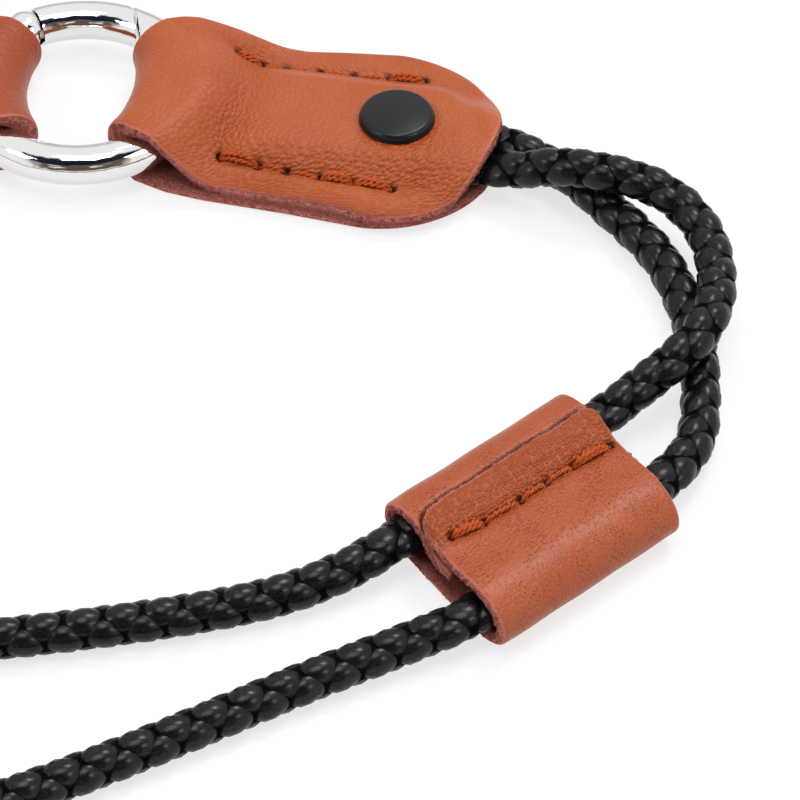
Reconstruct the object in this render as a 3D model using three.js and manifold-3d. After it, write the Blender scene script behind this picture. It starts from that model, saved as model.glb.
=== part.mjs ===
import * as THREE from "three";
import { mergeVertices } from "three/addons/utils/BufferGeometryUtils.js";
import Module from "manifold-3d";

const wasm = await Module();
wasm.setup();

// Stock sizes, in millimetres.
const LEATHER = 1.6;
const GAP = 0.2;
const CORD_RADIUS = 2.1;
const CORD_SIDES = 10;
const LIE = CORD_RADIUS + 0.1;
const WIRE_RADIUS = 2.1;
const WIRE_SIDES = 14;
const WELD = 1e-4;

// The ring lies flat on the lower layer of the two tabs.
const RING_RADIUS = 11.6;
const RING_X = -24;
const RING_Z = LEATHER + GAP + WIRE_RADIUS;
const FOLD_RADIUS = WIRE_RADIUS + GAP + LEATHER / 2;
const FLAT_Z = 1.5 * LEATHER + GAP;
const HUMP = 2 * FOLD_RADIUS + LEATHER / 2 - FLAT_Z;
const HUMP_START = 1.0;
const HUMP_RUN = 8.0;
const HUMP_SIDE = { near: -6, far: 4 };
const SPREAD_RUN = { from: 28, to: 38 };
const BLEND_POWER = 3;

// The gate: hinged on a pin at one end, its free end meeting the ring's nose at a leaning seam.
const HINGE_DEG = 135;
const SEAM_DEG = 74;
const SEAM_GAP = 0.3;
const SEAM_LEAN = 2.0;
const NOSE_SPAN_DEG = 16;
const NOSE_REACH = 6;
const RING_STEPS = 44;
const GATE_STEPS = 12;
const SEAM_SIDES = 72;
const KNUCKLE_SIDES = 24;
const BALL_SIDES = 20;
const BALL_ROWS = 14;
const KNUCKLE_RADIUS = 2.25;
const KNUCKLE_CLEARANCE = 0.25;
const GATE_SETBACK_DEG = 7;
const TONGUE_RADIUS = 1.9;
const TONGUE_HALF = 0.65;
const SLOT_HALF = 0.9;
const SLOT_RADIUS = 2.4;
const PIN_RADIUS = 0.75;
const PIN_HALF = 1.5;
const PIN_HOLE_RADIUS = 0.83;

// The cord tab, measured from the ring's centre: x along the tab, half as the half-width there. The crest
// is the swelling over the cord's ends: its height, its middle line, and where it is flat and runs out.
const CORD_TAB = {
  outline: [
    { x: 4.6, half: 6.7 },
    { x: 7.5, half: 8.9 },
    { x: 11, half: 10.1 },
    { x: 15, half: 10.7 },
    { x: 24, half: 11.3 },
    { x: 32, half: 12.1 },
  ],
  crest: [
    { x: 12, height: 1.1, middle: -0.2, flat: 5.2, edge: 8.0 },
    { x: 22, height: 1.9, middle: -0.35, flat: 5.4, edge: 8.0 },
    { x: 37, height: 1.9, middle: -0.35, flat: 5.4, edge: 8.0 },
    { x: 42, height: 2.3, middle: -1.4, flat: 4.1, edge: 8.2 },
    { x: 44.7, height: 2.7, middle: -2.0, flat: 3.3, edge: 7.8 },
  ],
  nearRun: 6.2,
  nearSpread: 1.1,
  foldX: 5.5,
  foldEdge: 1.3,
  endX: 32,
  endDepth: 12.7,
  turnDeg: 1.9,
  columns: 22,
  topRows: 20,
  foldRows: 10,
  baseRows: 7,
};

// The phone tab, plain and flat past the ring.
const PHONE_TAB = {
  outline: [
    { x: 4.6, half: 6.8 },
    { x: 7.5, half: 8.0 },
    { x: 11, half: 8.8 },
    { x: 15, half: 9.2 },
    { x: 30, half: 9.6 },
  ],
  crest: [
    { x: 12, height: 0, middle: 0, flat: 4, edge: 7 },
    { x: 40, height: 0, middle: 0, flat: 4, edge: 7 },
  ],
  nearRun: HUMP_RUN,
  nearSpread: 0,
  foldX: 5.4,
  foldEdge: 0.9,
  endX: 30,
  endDepth: 8,
  turnDeg: 193,
  columns: 18,
  topRows: 13,
  foldRows: 10,
  baseRows: 6,
};

// The cap rivet, standing between the cord's two ends.
const RIVET_X = 9.9;
const RIVET_Y = 0.78;
const POST_RADIUS = 1.1;
const BACK_RADIUS = 3.4;
const BACK_TOP = 0.6;
const BACK_BASE = 0.05;
const CAP_RADIUS = 4.0;
const CAP_BASE = 5.2;
const CAP_RIM = 0.55;
const CAP_DOME = 0.45;
const CAP_SHOULDER = { radius: 0.5, height: 0.7 };
const CAP_CHAMFER = 0.35;
const RIVET_SIDES = 32;

// The slider: a thinner strip wrapped into two flat oval channels side by side, lapped and drawn down a
// little between them. Its ends are cut askew, and it squeezes the cord.
const SLIDER_LEATHER = 1.4;
const SLIDER_X = 33.86;
const SLIDER_Y = -51.12;
const SLIDER_DEG = 52.5;
const SLIDER_LENGTH = 22.8;
const SLIDER_SKEW = 0.115;
const SLIDER_SIDE = 12;
const SQUEEZED_TALL = 0.8;
const SQUEEZED_WIDE = 1.1;
const SQUEEZED_TO = 13;
const SQUEEZED_FROM = 17;
const LAP_GAP = 0.1;
const FAR_CHANNEL = -5.9;
const NEAR_CHANNEL = 5.2;
const FAR_ROOM = 0.6;
const NEAR_ROOM = 1.0;
const TALL_ROOM = 0.12;
const FAR_WIDE = CORD_RADIUS * SQUEEZED_WIDE + FAR_ROOM + SLIDER_LEATHER / 2;
const NEAR_WIDE = CORD_RADIUS * SQUEEZED_WIDE + NEAR_ROOM + SLIDER_LEATHER / 2;
const WRAP_TALL = CORD_RADIUS * SQUEEZED_TALL + TALL_ROOM + SLIDER_LEATHER / 2;
const CHANNEL_Z = SLIDER_LEATHER / 2 + WRAP_TALL;
const LAP_GROWTH = SLIDER_LEATHER + LAP_GAP;
const INNER_Z = 3.5;
const INNER_END = 1.0;
const INNER_FLAT_END = -1.0;
const INNER_RISE = -2.3;
const INNER_LEAN_DEG = 30;
const NEAR_LEAN_DEG = 100;
const VALLEY_NEAR = { x: 2.6, z: 5.5 };
const VALLEY_FAR = { x: -1.0, z: 4.5 };
const LAP_START_DEG = 60;
const LAP_END_DEG = 80;
const LAP_EDGE = 0.6;
const LAP_SKIVE = 4;
const WRAP_SAMPLES = 88;

// The cord's centre line, from one end in the cord tab, by the far channel, the neck loop and the near
// channel, back to the other end in the tab.
const CORD_ROUTE = [
  [1.0, -3.1, 2.6], [12.0, -2.75, 2.6], [17.0, -2.6, 2.65], [20.5, -2.7, 3.05], [24.3, -3.4, 4.5],
  [28.4, -4.1, 6.2], [33.2, -4.4, 6.5], [37.8, -4.6, 5.7], [41.5, -6.3, 4.9], [44.3, -9.7, 4.5],
  [46.0, -14.6, 4.9], [46.8, -20.4, 6.0], [46.3, -25.2, 6.5], [44.5, -28.9, 5.9], [41.4, -32.3, 4.4],
  [37.24, -37.32, CHANNEL_Z], [29.02, -47.41, CHANNEL_Z], [20.83, -57.51, CHANNEL_Z],
  [17.5, -60.8, 2.6], [10.9, -65.6, LIE], [-12.8, -75.7, LIE],
  [-45, -85, LIE], [-78, -77, LIE], [-94, -46, LIE], [-98, -10, LIE], [-114, 10, LIE],
  [-134, -2, LIE], [-144, -42, LIE], [-132, -90, LIE], [-90, -116, LIE], [-40, -114, LIE],
  [-7.7, -95.2, LIE], [17.6, -74.6, LIE], [25.4, -68.6, 2.5],
  [30.43, -64.87, CHANNEL_Z], [37.91, -54.22, CHANNEL_Z], [45.38, -43.58, CHANNEL_Z],
  [47.5, -37.6, 2.7], [47.0, -30.0, LIE + 0.1], [44.8, -21.0, LIE], [39.9, -11.5, LIE],
  [33.2, -4.8, LIE], [28.4, -0.8, LIE + 0.05], [24.3, 1.0, 2.4],
  [20.5, 2.2, 2.95], [17.0, 3.3, 2.65], [12.0, 4.4, 2.6], [1.0, 4.1, 2.6],
];
const STEPS_PER_SPAN = 2;
const PRESSED_FROM = 23.5;
const PRESSED_TO = 19;
const PRESSED_TALL = 0.43;
const PRESSED_WIDE = 1.12;
const TAB_SIDE = 8;
const CENTRES_PER_STEP = 8;

const radians = (degrees) => THREE.MathUtils.degToRad(degrees);
const onCircle = (radius, degrees) =>
  new THREE.Vector3(radius * Math.cos(radians(degrees)), radius * Math.sin(radians(degrees)), 0);

// Eased value of a table of rows sorted by x.
function eased(rows, x, column) {
  if (x <= rows[0].x) return rows[0][column];
  for (let i = 1; i < rows.length; i += 1) {
    if (x <= rows[i].x) {
      const share = THREE.MathUtils.smoothstep(x, rows[i - 1].x, rows[i].x);
      return THREE.MathUtils.lerp(rows[i - 1][column], rows[i][column], share);
    }
  }
  return rows[rows.length - 1][column];
}

// Straight-line value of a table of rows sorted by x.
function between(rows, x, column) {
  let i = 1;
  while (i < rows.length - 1 && x > rows[i].x) i += 1;
  const share = THREE.MathUtils.clamp((x - rows[i - 1].x) / (rows[i].x - rows[i - 1].x), 0, 1);
  return THREE.MathUtils.lerp(rows[i - 1][column], rows[i][column], share);
}

// Bare positions with shared corners and no collapsed triangles.
function welded(geometry) {
  const bare = new THREE.BufferGeometry();
  bare.setAttribute("position", geometry.getAttribute("position").clone());
  if (geometry.index) bare.setIndex(geometry.index.clone());
  const merged = mergeVertices(bare, WELD);
  const source = merged.index.array;
  const kept = [];
  for (let i = 0; i < source.length; i += 3) {
    const [a, b, c] = [source[i], source[i + 1], source[i + 2]];
    if (a !== b && b !== c && c !== a) kept.push(a, b, c);
  }
  merged.setIndex(kept);
  return merged;
}

function toSolid(geometry) {
  const mesh = welded(geometry);
  return new wasm.Manifold(new wasm.Mesh({
    numProp: 3,
    vertProperties: Float32Array.from(mesh.getAttribute("position").array),
    triVerts: Uint32Array.from(mesh.index.array),
  }));
}

function toGeometry(solid) {
  const mesh = solid.getMesh();
  const geometry = new THREE.BufferGeometry();
  geometry.setAttribute("position", new THREE.BufferAttribute(Float32Array.from(mesh.vertProperties), 3));
  geometry.setIndex(new THREE.BufferAttribute(Uint32Array.from(mesh.triVerts), 1));
  return geometry;
}

// A closed leather wall round a grid of middle points; rows run along the strip, columns across it.
function leatherWall(middle) {
  const rows = middle.length;
  const columns = middle[0].length;
  const at = (i, j) =>
    middle[THREE.MathUtils.clamp(i, 0, rows - 1)][THREE.MathUtils.clamp(j, 0, columns - 1)];
  const positions = [];
  for (const side of [-1, 1]) {
    for (let i = 0; i < rows; i += 1) {
      for (let j = 0; j < columns; j += 1) {
        const along = at(i + 1, j).clone().sub(at(i - 1, j));
        const across = at(i, j + 1).clone().sub(at(i, j - 1));
        const normal = along.cross(across).normalize();
        positions.push(...at(i, j).clone().addScaledVector(normal, side * LEATHER / 2).toArray());
      }
    }
  }
  const outer = (i, j) => i * columns + j;
  const inner = (i, j) => rows * columns + outer(i, j);
  const indices = [];
  for (let i = 0; i < rows - 1; i += 1) {
    for (let j = 0; j < columns - 1; j += 1) {
      indices.push(outer(i, j), outer(i, j + 1), outer(i + 1, j + 1));
      indices.push(outer(i, j), outer(i + 1, j + 1), outer(i + 1, j));
      indices.push(inner(i, j), inner(i + 1, j + 1), inner(i, j + 1));
      indices.push(inner(i, j), inner(i + 1, j), inner(i + 1, j + 1));
    }
  }
  const border = [];
  for (let j = 0; j < columns - 1; j += 1) border.push([0, j]);
  for (let i = 0; i < rows - 1; i += 1) border.push([i, columns - 1]);
  for (let j = columns - 1; j > 0; j -= 1) border.push([rows - 1, j]);
  for (let i = rows - 1; i > 0; i -= 1) border.push([i, 0]);
  border.forEach((p, k) => {
    const q = border[(k + 1) % border.length];
    indices.push(outer(...q), outer(...p), inner(...p));
    indices.push(outer(...q), inner(...p), inner(...q));
  });
  const geometry = new THREE.BufferGeometry();
  geometry.setAttribute("position", new THREE.Float32BufferAttribute(positions, 3));
  geometry.setIndex(indices);
  return geometry;
}

// Rise of a tab's upper layer over the ring's wire and over the cord's ends.
function tabRise(tab, x, y) {
  const past = Math.hypot(x, y) - RING_RADIUS;
  const side = THREE.MathUtils.smoothstep(y, HUMP_SIDE.near, HUMP_SIDE.far);
  const run = THREE.MathUtils.lerp(tab.nearRun, HUMP_RUN, side);
  const overRing = HUMP * (1 - THREE.MathUtils.smoothstep(past, HUMP_START, HUMP_START + run));
  const crest = (column) => eased(tab.crest, x, column);
  const aside = Math.abs(y - crest("middle"));
  const overCord = crest("height") * (1 - THREE.MathUtils.smoothstep(aside, crest("flat"), crest("edge")));
  return (overRing ** BLEND_POWER + overCord ** BLEND_POWER) ** (1 / BLEND_POWER);
}

// A tab seen from the ring's centre: upper layer, fold round the wire, lower layer on the table.
function tabMiddle(tab) {
  const shares = Array.from({ length: tab.columns + 1 }, (_, j) =>
    Math.sin((j / tab.columns - 0.5) * Math.PI));
  const endX = (v) => tab.endX + tab.endDepth * Math.sqrt(Math.max(0, 1 - v * v));
  const foldX = (v) => tab.foldX - tab.foldEdge * v * v + LEATHER / 2 + FOLD_RADIUS;
  const spot = (v, x, z) => new THREE.Vector3(x, v * between(tab.outline, x, "half"), z);
  const spread = (x) => tab.nearSpread * THREE.MathUtils.smoothstep(x, SPREAD_RUN.from, SPREAD_RUN.to);
  const middle = [];
  for (let i = 0; i < tab.topRows; i += 1) {
    middle.push(shares.map((v) => {
      const place = spot(v, THREE.MathUtils.lerp(endX(v), foldX(v), i / tab.topRows), FLAT_Z);
      place.y += Math.min(v, 0) * spread(place.x);
      place.z += tabRise(tab, place.x, place.y);
      return place;
    }));
  }
  for (let i = 0; i <= tab.foldRows; i += 1) {
    const angle = Math.PI * (0.5 + i / tab.foldRows);
    middle.push(shares.map((v) =>
      spot(v, foldX(v) + FOLD_RADIUS * Math.cos(angle), RING_Z + FOLD_RADIUS * Math.sin(angle))));
  }
  for (let i = 1; i <= tab.baseRows; i += 1) {
    middle.push(shares.map((v) =>
      spot(v, THREE.MathUtils.lerp(foldX(v), endX(v), i / tab.baseRows), LEATHER / 2)));
  }
  return middle;
}

function tabGeometry(tab) {
  return leatherWall(tabMiddle(tab)).rotateZ(radians(tab.turnDeg)).translate(RING_X, 0, 0);
}

// A bar of round wire bent along the ring between two angles.
class RingArc extends THREE.Curve {
  constructor(fromDeg, toDeg) {
    super();
    this.fromDeg = fromDeg;
    this.toDeg = toDeg;
  }

  getPoint(t, target = new THREE.Vector3()) {
    return target.copy(onCircle(RING_RADIUS, THREE.MathUtils.lerp(this.fromDeg, this.toDeg, t)));
  }
}

function roundSection(radius, sides) {
  return new THREE.Shape(Array.from({ length: sides }, (_, i) => {
    const angle = (2 * Math.PI * i) / sides;
    return new THREE.Vector2(radius * Math.cos(angle), radius * Math.sin(angle));
  }));
}

function wireBar(fromDeg, toDeg, steps) {
  const extrudePath = new RingArc(fromDeg, toDeg);
  const section = roundSection(WIRE_RADIUS, WIRE_SIDES);
  return toSolid(new THREE.ExtrudeGeometry(section, { steps, bevelEnabled: false, extrudePath }));
}

// An upright disc between two heights, centred on a place in the ring's plane.
function disc(place, radius, low, high, sides) {
  const round = new THREE.CylinderGeometry(radius, radius, high - low, sides).rotateX(Math.PI / 2);
  return toSolid(round.translate(place.x, place.y, (low + high) / 2));
}

function ball(place, radius) {
  return toSolid(new THREE.SphereGeometry(radius, BALL_SIDES, BALL_ROWS).translate(place.x, place.y, place.z));
}

const hinge = onCircle(RING_RADIUS, HINGE_DEG);
const tip = onCircle(RING_RADIUS, SEAM_DEG);
const swing = tip.clone().sub(hinge);
const inward = new THREE.Vector3(swing.y, -swing.x, 0).normalize();
const seamCentre = hinge.clone().addScaledVector(inward, SEAM_LEAN);
const seamRadius = tip.distanceTo(seamCentre);
const tall = 2 * WIRE_RADIUS;

function ringBody() {
  const seamCut = disc(seamCentre, seamRadius + SEAM_GAP / 2, -tall, tall, SEAM_SIDES)
    .intersect(disc(tip, NOSE_REACH, -tall, tall, KNUCKLE_SIDES));
  const solid = wireBar(HINGE_DEG, 360 + SEAM_DEG + NOSE_SPAN_DEG, RING_STEPS)
    .subtract(seamCut)
    .add(ball(hinge, KNUCKLE_RADIUS))
    .subtract(disc(hinge, SLOT_RADIUS, -SLOT_HALF, SLOT_HALF, KNUCKLE_SIDES))
    .add(disc(hinge, PIN_RADIUS, -PIN_HALF, PIN_HALF, KNUCKLE_SIDES));
  return toGeometry(solid).translate(RING_X, 0, RING_Z);
}

function ringGate() {
  const seat = ball(hinge, KNUCKLE_RADIUS + KNUCKLE_CLEARANCE)
    .subtract(disc(hinge, tall, -TONGUE_HALF, TONGUE_HALF, KNUCKLE_SIDES));
  const solid = wireBar(SEAM_DEG - NOSE_SPAN_DEG, HINGE_DEG - GATE_SETBACK_DEG, GATE_STEPS)
    .intersect(disc(seamCentre, seamRadius - SEAM_GAP / 2, -tall, tall, SEAM_SIDES))
    .subtract(seat)
    .add(disc(hinge, TONGUE_RADIUS, -TONGUE_HALF, TONGUE_HALF, KNUCKLE_SIDES))
    .subtract(disc(hinge, PIN_HOLE_RADIUS, -tall, tall, KNUCKLE_SIDES));
  return toGeometry(solid).translate(RING_X, 0, RING_Z);
}

// Half-section of the rivet, grown all round by a clearance.
function rivetLathe(clearance) {
  const capEdge = CAP_RADIUS + clearance;
  const half = [
    [0, BACK_BASE - clearance],
    [BACK_RADIUS + clearance, BACK_BASE - clearance],
    [BACK_RADIUS + clearance, BACK_TOP + clearance],
    [POST_RADIUS + clearance, BACK_TOP + clearance],
    [POST_RADIUS + clearance, CAP_BASE - clearance],
    [capEdge, CAP_BASE - clearance],
    [capEdge, CAP_BASE + CAP_RIM],
    [capEdge - CAP_CHAMFER, CAP_BASE + CAP_RIM + CAP_CHAMFER],
    [capEdge * CAP_SHOULDER.radius, CAP_BASE + CAP_RIM + CAP_CHAMFER + CAP_SHOULDER.height * CAP_DOME],
    [0, CAP_BASE + CAP_RIM + CAP_CHAMFER + CAP_DOME],
  ];
  const profile = half.map(([radius, height]) => new THREE.Vector2(radius, height));
  return new THREE.LatheGeometry(profile, RIVET_SIDES).rotateX(Math.PI / 2).translate(RIVET_X, RIVET_Y, 0);
}

function cordTab() {
  return toGeometry(toSolid(tabGeometry(CORD_TAB)).subtract(toSolid(rivetLathe(GAP))));
}

// Section of the wrapped strip: inner end, far channel, base, near channel, valley and lap.
function wrapLine() {
  const line = new THREE.Path();
  const lap = { wide: FAR_WIDE + LAP_GROWTH, tall: WRAP_TALL + LAP_GROWTH };
  const onOval = (middle, wide, tall, degrees) =>
    [middle + wide * Math.cos(radians(degrees)), CHANNEL_Z + tall * Math.sin(radians(degrees))];
  const oval = (middle, wide, tall, fromDeg, toDeg) =>
    line.absellipse(middle, CHANNEL_Z, wide, tall, radians(fromDeg), radians(toDeg), false, 0);
  line.moveTo(INNER_END, INNER_Z);
  line.lineTo(INNER_FLAT_END, INNER_Z);
  line.quadraticCurveTo(INNER_RISE, INNER_Z, ...onOval(FAR_CHANNEL, FAR_WIDE, WRAP_TALL, INNER_LEAN_DEG));
  oval(FAR_CHANNEL, FAR_WIDE, WRAP_TALL, INNER_LEAN_DEG, 270);
  line.lineTo(NEAR_CHANNEL, SLIDER_LEATHER / 2);
  oval(NEAR_CHANNEL, NEAR_WIDE, WRAP_TALL, -90, NEAR_LEAN_DEG);
  line.bezierCurveTo(VALLEY_NEAR.x, VALLEY_NEAR.z, VALLEY_FAR.x, VALLEY_FAR.z,
    ...onOval(FAR_CHANNEL, lap.wide, lap.tall, LAP_START_DEG));
  oval(FAR_CHANNEL, lap.wide, lap.tall, LAP_START_DEG, LAP_END_DEG);
  return line;
}

function slider() {
  const line = wrapLine();
  const length = line.getLength();
  const left = [];
  const right = [];
  for (let i = 0; i <= WRAP_SAMPLES; i += 1) {
    const share = i / WRAP_SAMPLES;
    const place = line.getPointAt(share);
    const along = line.getTangentAt(share);
    const skive = Math.min(1, ((1 - share) * length) / LAP_SKIVE);
    const half = THREE.MathUtils.lerp(LAP_EDGE, SLIDER_LEATHER, skive) / 2;
    const sink = SLIDER_LEATHER / 2 - half;
    const normal = new THREE.Vector2(-along.y, along.x);
    const middle = place.clone().addScaledVector(normal, sink);
    left.push(middle.clone().addScaledVector(normal, half));
    right.push(middle.clone().addScaledVector(normal, -half));
  }
  const outline = new THREE.Shape([...left, ...right.reverse()]);
  return new THREE.ExtrudeGeometry(outline, { depth: SLIDER_LENGTH, steps: 1, bevelEnabled: false })
    .translate(0, 0, -SLIDER_LENGTH / 2)
    .applyMatrix4(new THREE.Matrix4().makeShear(0, SLIDER_SKEW, 0, 0, 0, 0))
    .rotateX(Math.PI / 2)
    .rotateZ(radians(SLIDER_DEG - 90))
    .translate(SLIDER_X, SLIDER_Y, 0);
}

// The cord's line with its sections standing on the route's own points.
class CordLine extends THREE.CatmullRomCurve3 {
  getUtoTmapping(u) {
    return u;
  }
}

const sliderCentre = new THREE.Vector3(SLIDER_X, SLIDER_Y, 0);
const sliderAlong = onCircle(1, SLIDER_DEG);
const sliderAcross = onCircle(1, SLIDER_DEG - 90);
const tabAcross = new THREE.Vector3(0, 1, 0);

// How the cord is flattened at a place on its centre line: by the tab, by the slider, or not at all.
function flattening(place) {
  const away = place.clone().sub(sliderCentre);
  const along = Math.abs(away.dot(sliderAlong));
  if (place.x > 0 && place.x < PRESSED_FROM && Math.abs(place.y) < TAB_SIDE) {
    const share = 1 - THREE.MathUtils.smoothstep(place.x, PRESSED_TO, PRESSED_FROM);
    return { across: tabAcross, share, tall: PRESSED_TALL, wide: PRESSED_WIDE };
  }
  if (along < SQUEEZED_FROM && Math.abs(away.dot(sliderAcross)) < SLIDER_SIDE) {
    const share = 1 - THREE.MathUtils.smoothstep(along, SQUEEZED_TO, SQUEEZED_FROM);
    return { across: sliderAcross, share, tall: SQUEEZED_TALL, wide: SQUEEZED_WIDE };
  }
  return null;
}

function cord() {
  const extrudePath = new CordLine(CORD_ROUTE.map((place) => new THREE.Vector3(...place)));
  const steps = STEPS_PER_SPAN * (CORD_ROUTE.length - 1);
  const section = roundSection(CORD_RADIUS, CORD_SIDES);
  const geometry = new THREE.ExtrudeGeometry(section, { steps, bevelEnabled: false, extrudePath });
  const centres = extrudePath.getPoints(steps * CENTRES_PER_STEP);
  const position = geometry.getAttribute("position");
  const corner = new THREE.Vector3();
  for (let i = 0; i < position.count; i += 1) {
    corner.fromBufferAttribute(position, i);
    const near = centres.reduce((best, p) =>
      (p.distanceToSquared(corner) < best.distanceToSquared(corner) ? p : best));
    const flat = flattening(near);
    if (!flat) continue;
    const offset = corner.clone().sub(near);
    corner.addScaledVector(flat.across, offset.dot(flat.across) * (flat.wide - 1) * flat.share);
    corner.z += offset.z * (flat.tall - 1) * flat.share;
    position.setXYZ(i, ...corner.toArray());
  }
  return geometry;
}

const FINISHES = {
  leather: { color: 0xbe643c, roughness: 0.6, metalness: 0 },
  nickel: { color: 0xd4d6d8, roughness: 0.15, metalness: 1 },
  black_cap: { color: 0x17181a, roughness: 0.35, metalness: 0 },
  braided_cord: { color: 0x1a1a1c, roughness: 0.5, metalness: 0 },
};

const lanyard = new THREE.Group();
lanyard.name = "phone_lanyard";

function piece(name, geometry, finish) {
  const mesh = new THREE.Mesh(welded(geometry), new THREE.MeshStandardMaterial(FINISHES[finish]));
  mesh.geometry.computeVertexNormals();
  mesh.material.name = finish;
  mesh.name = name;
  lanyard.add(mesh);
}

piece("ring_body", ringBody(), "nickel");
piece("ring_gate", ringGate(), "nickel");
piece("cord_tab", cordTab(), "leather");
piece("phone_tab", tabGeometry(PHONE_TAB), "leather");
piece("cap_rivet", rivetLathe(0), "black_cap");
piece("slider", slider(), "leather");
piece("cord", cord(), "braided_cord");

export default lanyard;
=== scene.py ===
"""Dresses the phone lanyard: braided cord, leather tabs and slider, cap rivet and gate ring."""

from __future__ import annotations

import logging
import math
from dataclasses import dataclass, field
from enum import Enum
from typing import Callable, NamedTuple, Sequence

import bpy
import numpy as np
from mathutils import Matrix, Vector

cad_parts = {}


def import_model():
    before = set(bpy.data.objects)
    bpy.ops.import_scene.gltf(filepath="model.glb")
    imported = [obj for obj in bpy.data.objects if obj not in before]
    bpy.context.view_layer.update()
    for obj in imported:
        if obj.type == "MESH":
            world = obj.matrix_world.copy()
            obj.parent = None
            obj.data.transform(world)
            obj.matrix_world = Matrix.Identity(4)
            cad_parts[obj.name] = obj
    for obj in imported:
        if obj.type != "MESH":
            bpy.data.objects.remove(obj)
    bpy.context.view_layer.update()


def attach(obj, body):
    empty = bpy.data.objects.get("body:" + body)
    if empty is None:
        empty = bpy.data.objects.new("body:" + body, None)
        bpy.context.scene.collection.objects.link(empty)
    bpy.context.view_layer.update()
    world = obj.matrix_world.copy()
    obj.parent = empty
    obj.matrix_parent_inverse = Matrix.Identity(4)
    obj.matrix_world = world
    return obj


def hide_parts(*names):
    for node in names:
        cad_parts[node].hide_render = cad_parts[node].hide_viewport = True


LOG = logging.getLogger("lanyard")
MM = 0.001
UP = np.array([0.0, 0.0, 1.0])

Tone = tuple[float, float, float]
Spot = tuple[float, float, float]
Span = tuple[float, float]
Lift = Callable[[np.ndarray, np.ndarray, np.ndarray], np.ndarray]

# Waves in a soft ripple, and how their lengths vary.
RIPPLE_WAVES = 7
RIPPLE_STRETCH = (0.7, 1.5)

# Material slots of a leather piece.
GRAIN_SLOT = 0
FLESH_SLOT = 1

# Stock sizes shared by the pieces, in millimetres. A room is the clear space round the cord.
LEATHER = 1.6
GAP = 0.2
TOUCH = 0.01
CORD_RADIUS = 2.1
LIE_ROOM = 0.1
LIE = CORD_RADIUS + LIE_ROOM
WIRE_RADIUS = 2.1
RING_RADIUS = 11.6
RING_CENTRE = np.array([-24.0, 0.0, LEATHER + GAP + WIRE_RADIUS])
FLAT_Z = 1.5 * LEATHER + GAP
FOLD_RADIUS = WIRE_RADIUS + GAP + LEATHER / 2
SLIDER_LEATHER = 1.4
SQUEEZED_TALL = 0.8
SQUEEZED_WIDE = 1.1
FAR_ROOM = 0.6
NEAR_ROOM = 1.0
TALL_ROOM = 0.12
FAR_WIDE = CORD_RADIUS * SQUEEZED_WIDE + FAR_ROOM + SLIDER_LEATHER / 2
NEAR_WIDE = CORD_RADIUS * SQUEEZED_WIDE + NEAR_ROOM + SLIDER_LEATHER / 2
WRAP_TALL = CORD_RADIUS * SQUEEZED_TALL + TALL_ROOM + SLIDER_LEATHER / 2
SLIDER_CENTRE = np.array([33.86, -51.12, 0.0])
SLIDER_TURN = math.radians(52.5)
SLIDER_ALONG = np.array([math.cos(SLIDER_TURN), math.sin(SLIDER_TURN), 0.0])
SLIDER_ACROSS = np.array([math.sin(SLIDER_TURN), -math.cos(SLIDER_TURN), 0.0])
CHANNEL_Z = SLIDER_LEATHER / 2 + WRAP_TALL


class Body(Enum):
    """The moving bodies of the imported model."""

    LANYARD = "lanyard"
    GATE = "gate"


class Slot(Enum):
    """The record's material slots."""

    LEATHER = "leather"
    NICKEL = "nickel"
    BLACK_CAP = "black_cap"
    BRAIDED_CORD = "braided_cord"


class Carve(Enum):
    """The ways to carve one solid with another."""

    JOIN = "UNION"
    CUT = "DIFFERENCE"


def ease(value: np.ndarray | float, low: float, high: np.ndarray | float) -> np.ndarray:
    """Smooth step from 0 at low to 1 at high.

    Args:
        value: Where to take the step.
        low: Where it leaves 0.
        high: Where it reaches 1.

    Returns:
        The eased share.
    """
    share = np.clip((np.asarray(value, float) - low) / (high - low), 0.0, 1.0)
    return share * share * (3.0 - 2.0 * share)


def unit(vectors: np.ndarray) -> np.ndarray:
    """Vectors scaled to length 1 along the last axis."""
    return vectors / np.maximum(np.linalg.norm(vectors, axis=-1, keepdims=True), 1e-12)


def travel(line: np.ndarray) -> np.ndarray:
    """Distance along a line of points at each of them."""
    return np.concatenate([[0.0], np.cumsum(np.linalg.norm(np.diff(line, axis=0), axis=-1))])


def evened(line: np.ndarray, count: int) -> tuple[np.ndarray, np.ndarray]:
    """A line of points at even steps.

    Args:
        line: The points.
        count: How many points to take.

    Returns:
        The new points, and how far along the line each one is.
    """
    gone = travel(line)
    even = np.linspace(0.0, gone[-1], count)
    return np.stack([np.interp(even, gone, values) for values in line.T], axis=-1), even


def circle(sides: int) -> np.ndarray:
    """Angles of even steps once round, in radians."""
    return np.linspace(0.0, 2 * math.pi, sides, endpoint=False)


def bearing(azimuth: float, elevation: float) -> np.ndarray:
    """Unit vector towards two angles in degrees, round from the front and up."""
    turn, lift = math.radians(azimuth), math.radians(elevation)
    return np.array([math.sin(turn) * math.cos(lift), -math.cos(turn) * math.cos(lift), math.sin(lift)])


def ripple(places: np.ndarray, wavelength: float, seed: int) -> np.ndarray:
    """Soft uneven swell in about -1 to 1, a sum of plane waves in fixed directions.

    Args:
        places: Points in millimetres, any shape ending in 3.
        wavelength: Typical length of a swell, in millimetres.
        seed: Picks the waves.

    Returns:
        The swell at each point.
    """
    draw = np.random.default_rng(seed)
    total = np.zeros(places.shape[:-1])
    for _ in range(RIPPLE_WAVES):
        heading = unit(draw.normal(size=3))
        pace = 2 * math.pi / (wavelength * draw.uniform(*RIPPLE_STRETCH))
        total += np.sin(places @ heading * pace + draw.uniform(0, 2 * math.pi))
    return total / math.sqrt(RIPPLE_WAVES)


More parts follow.
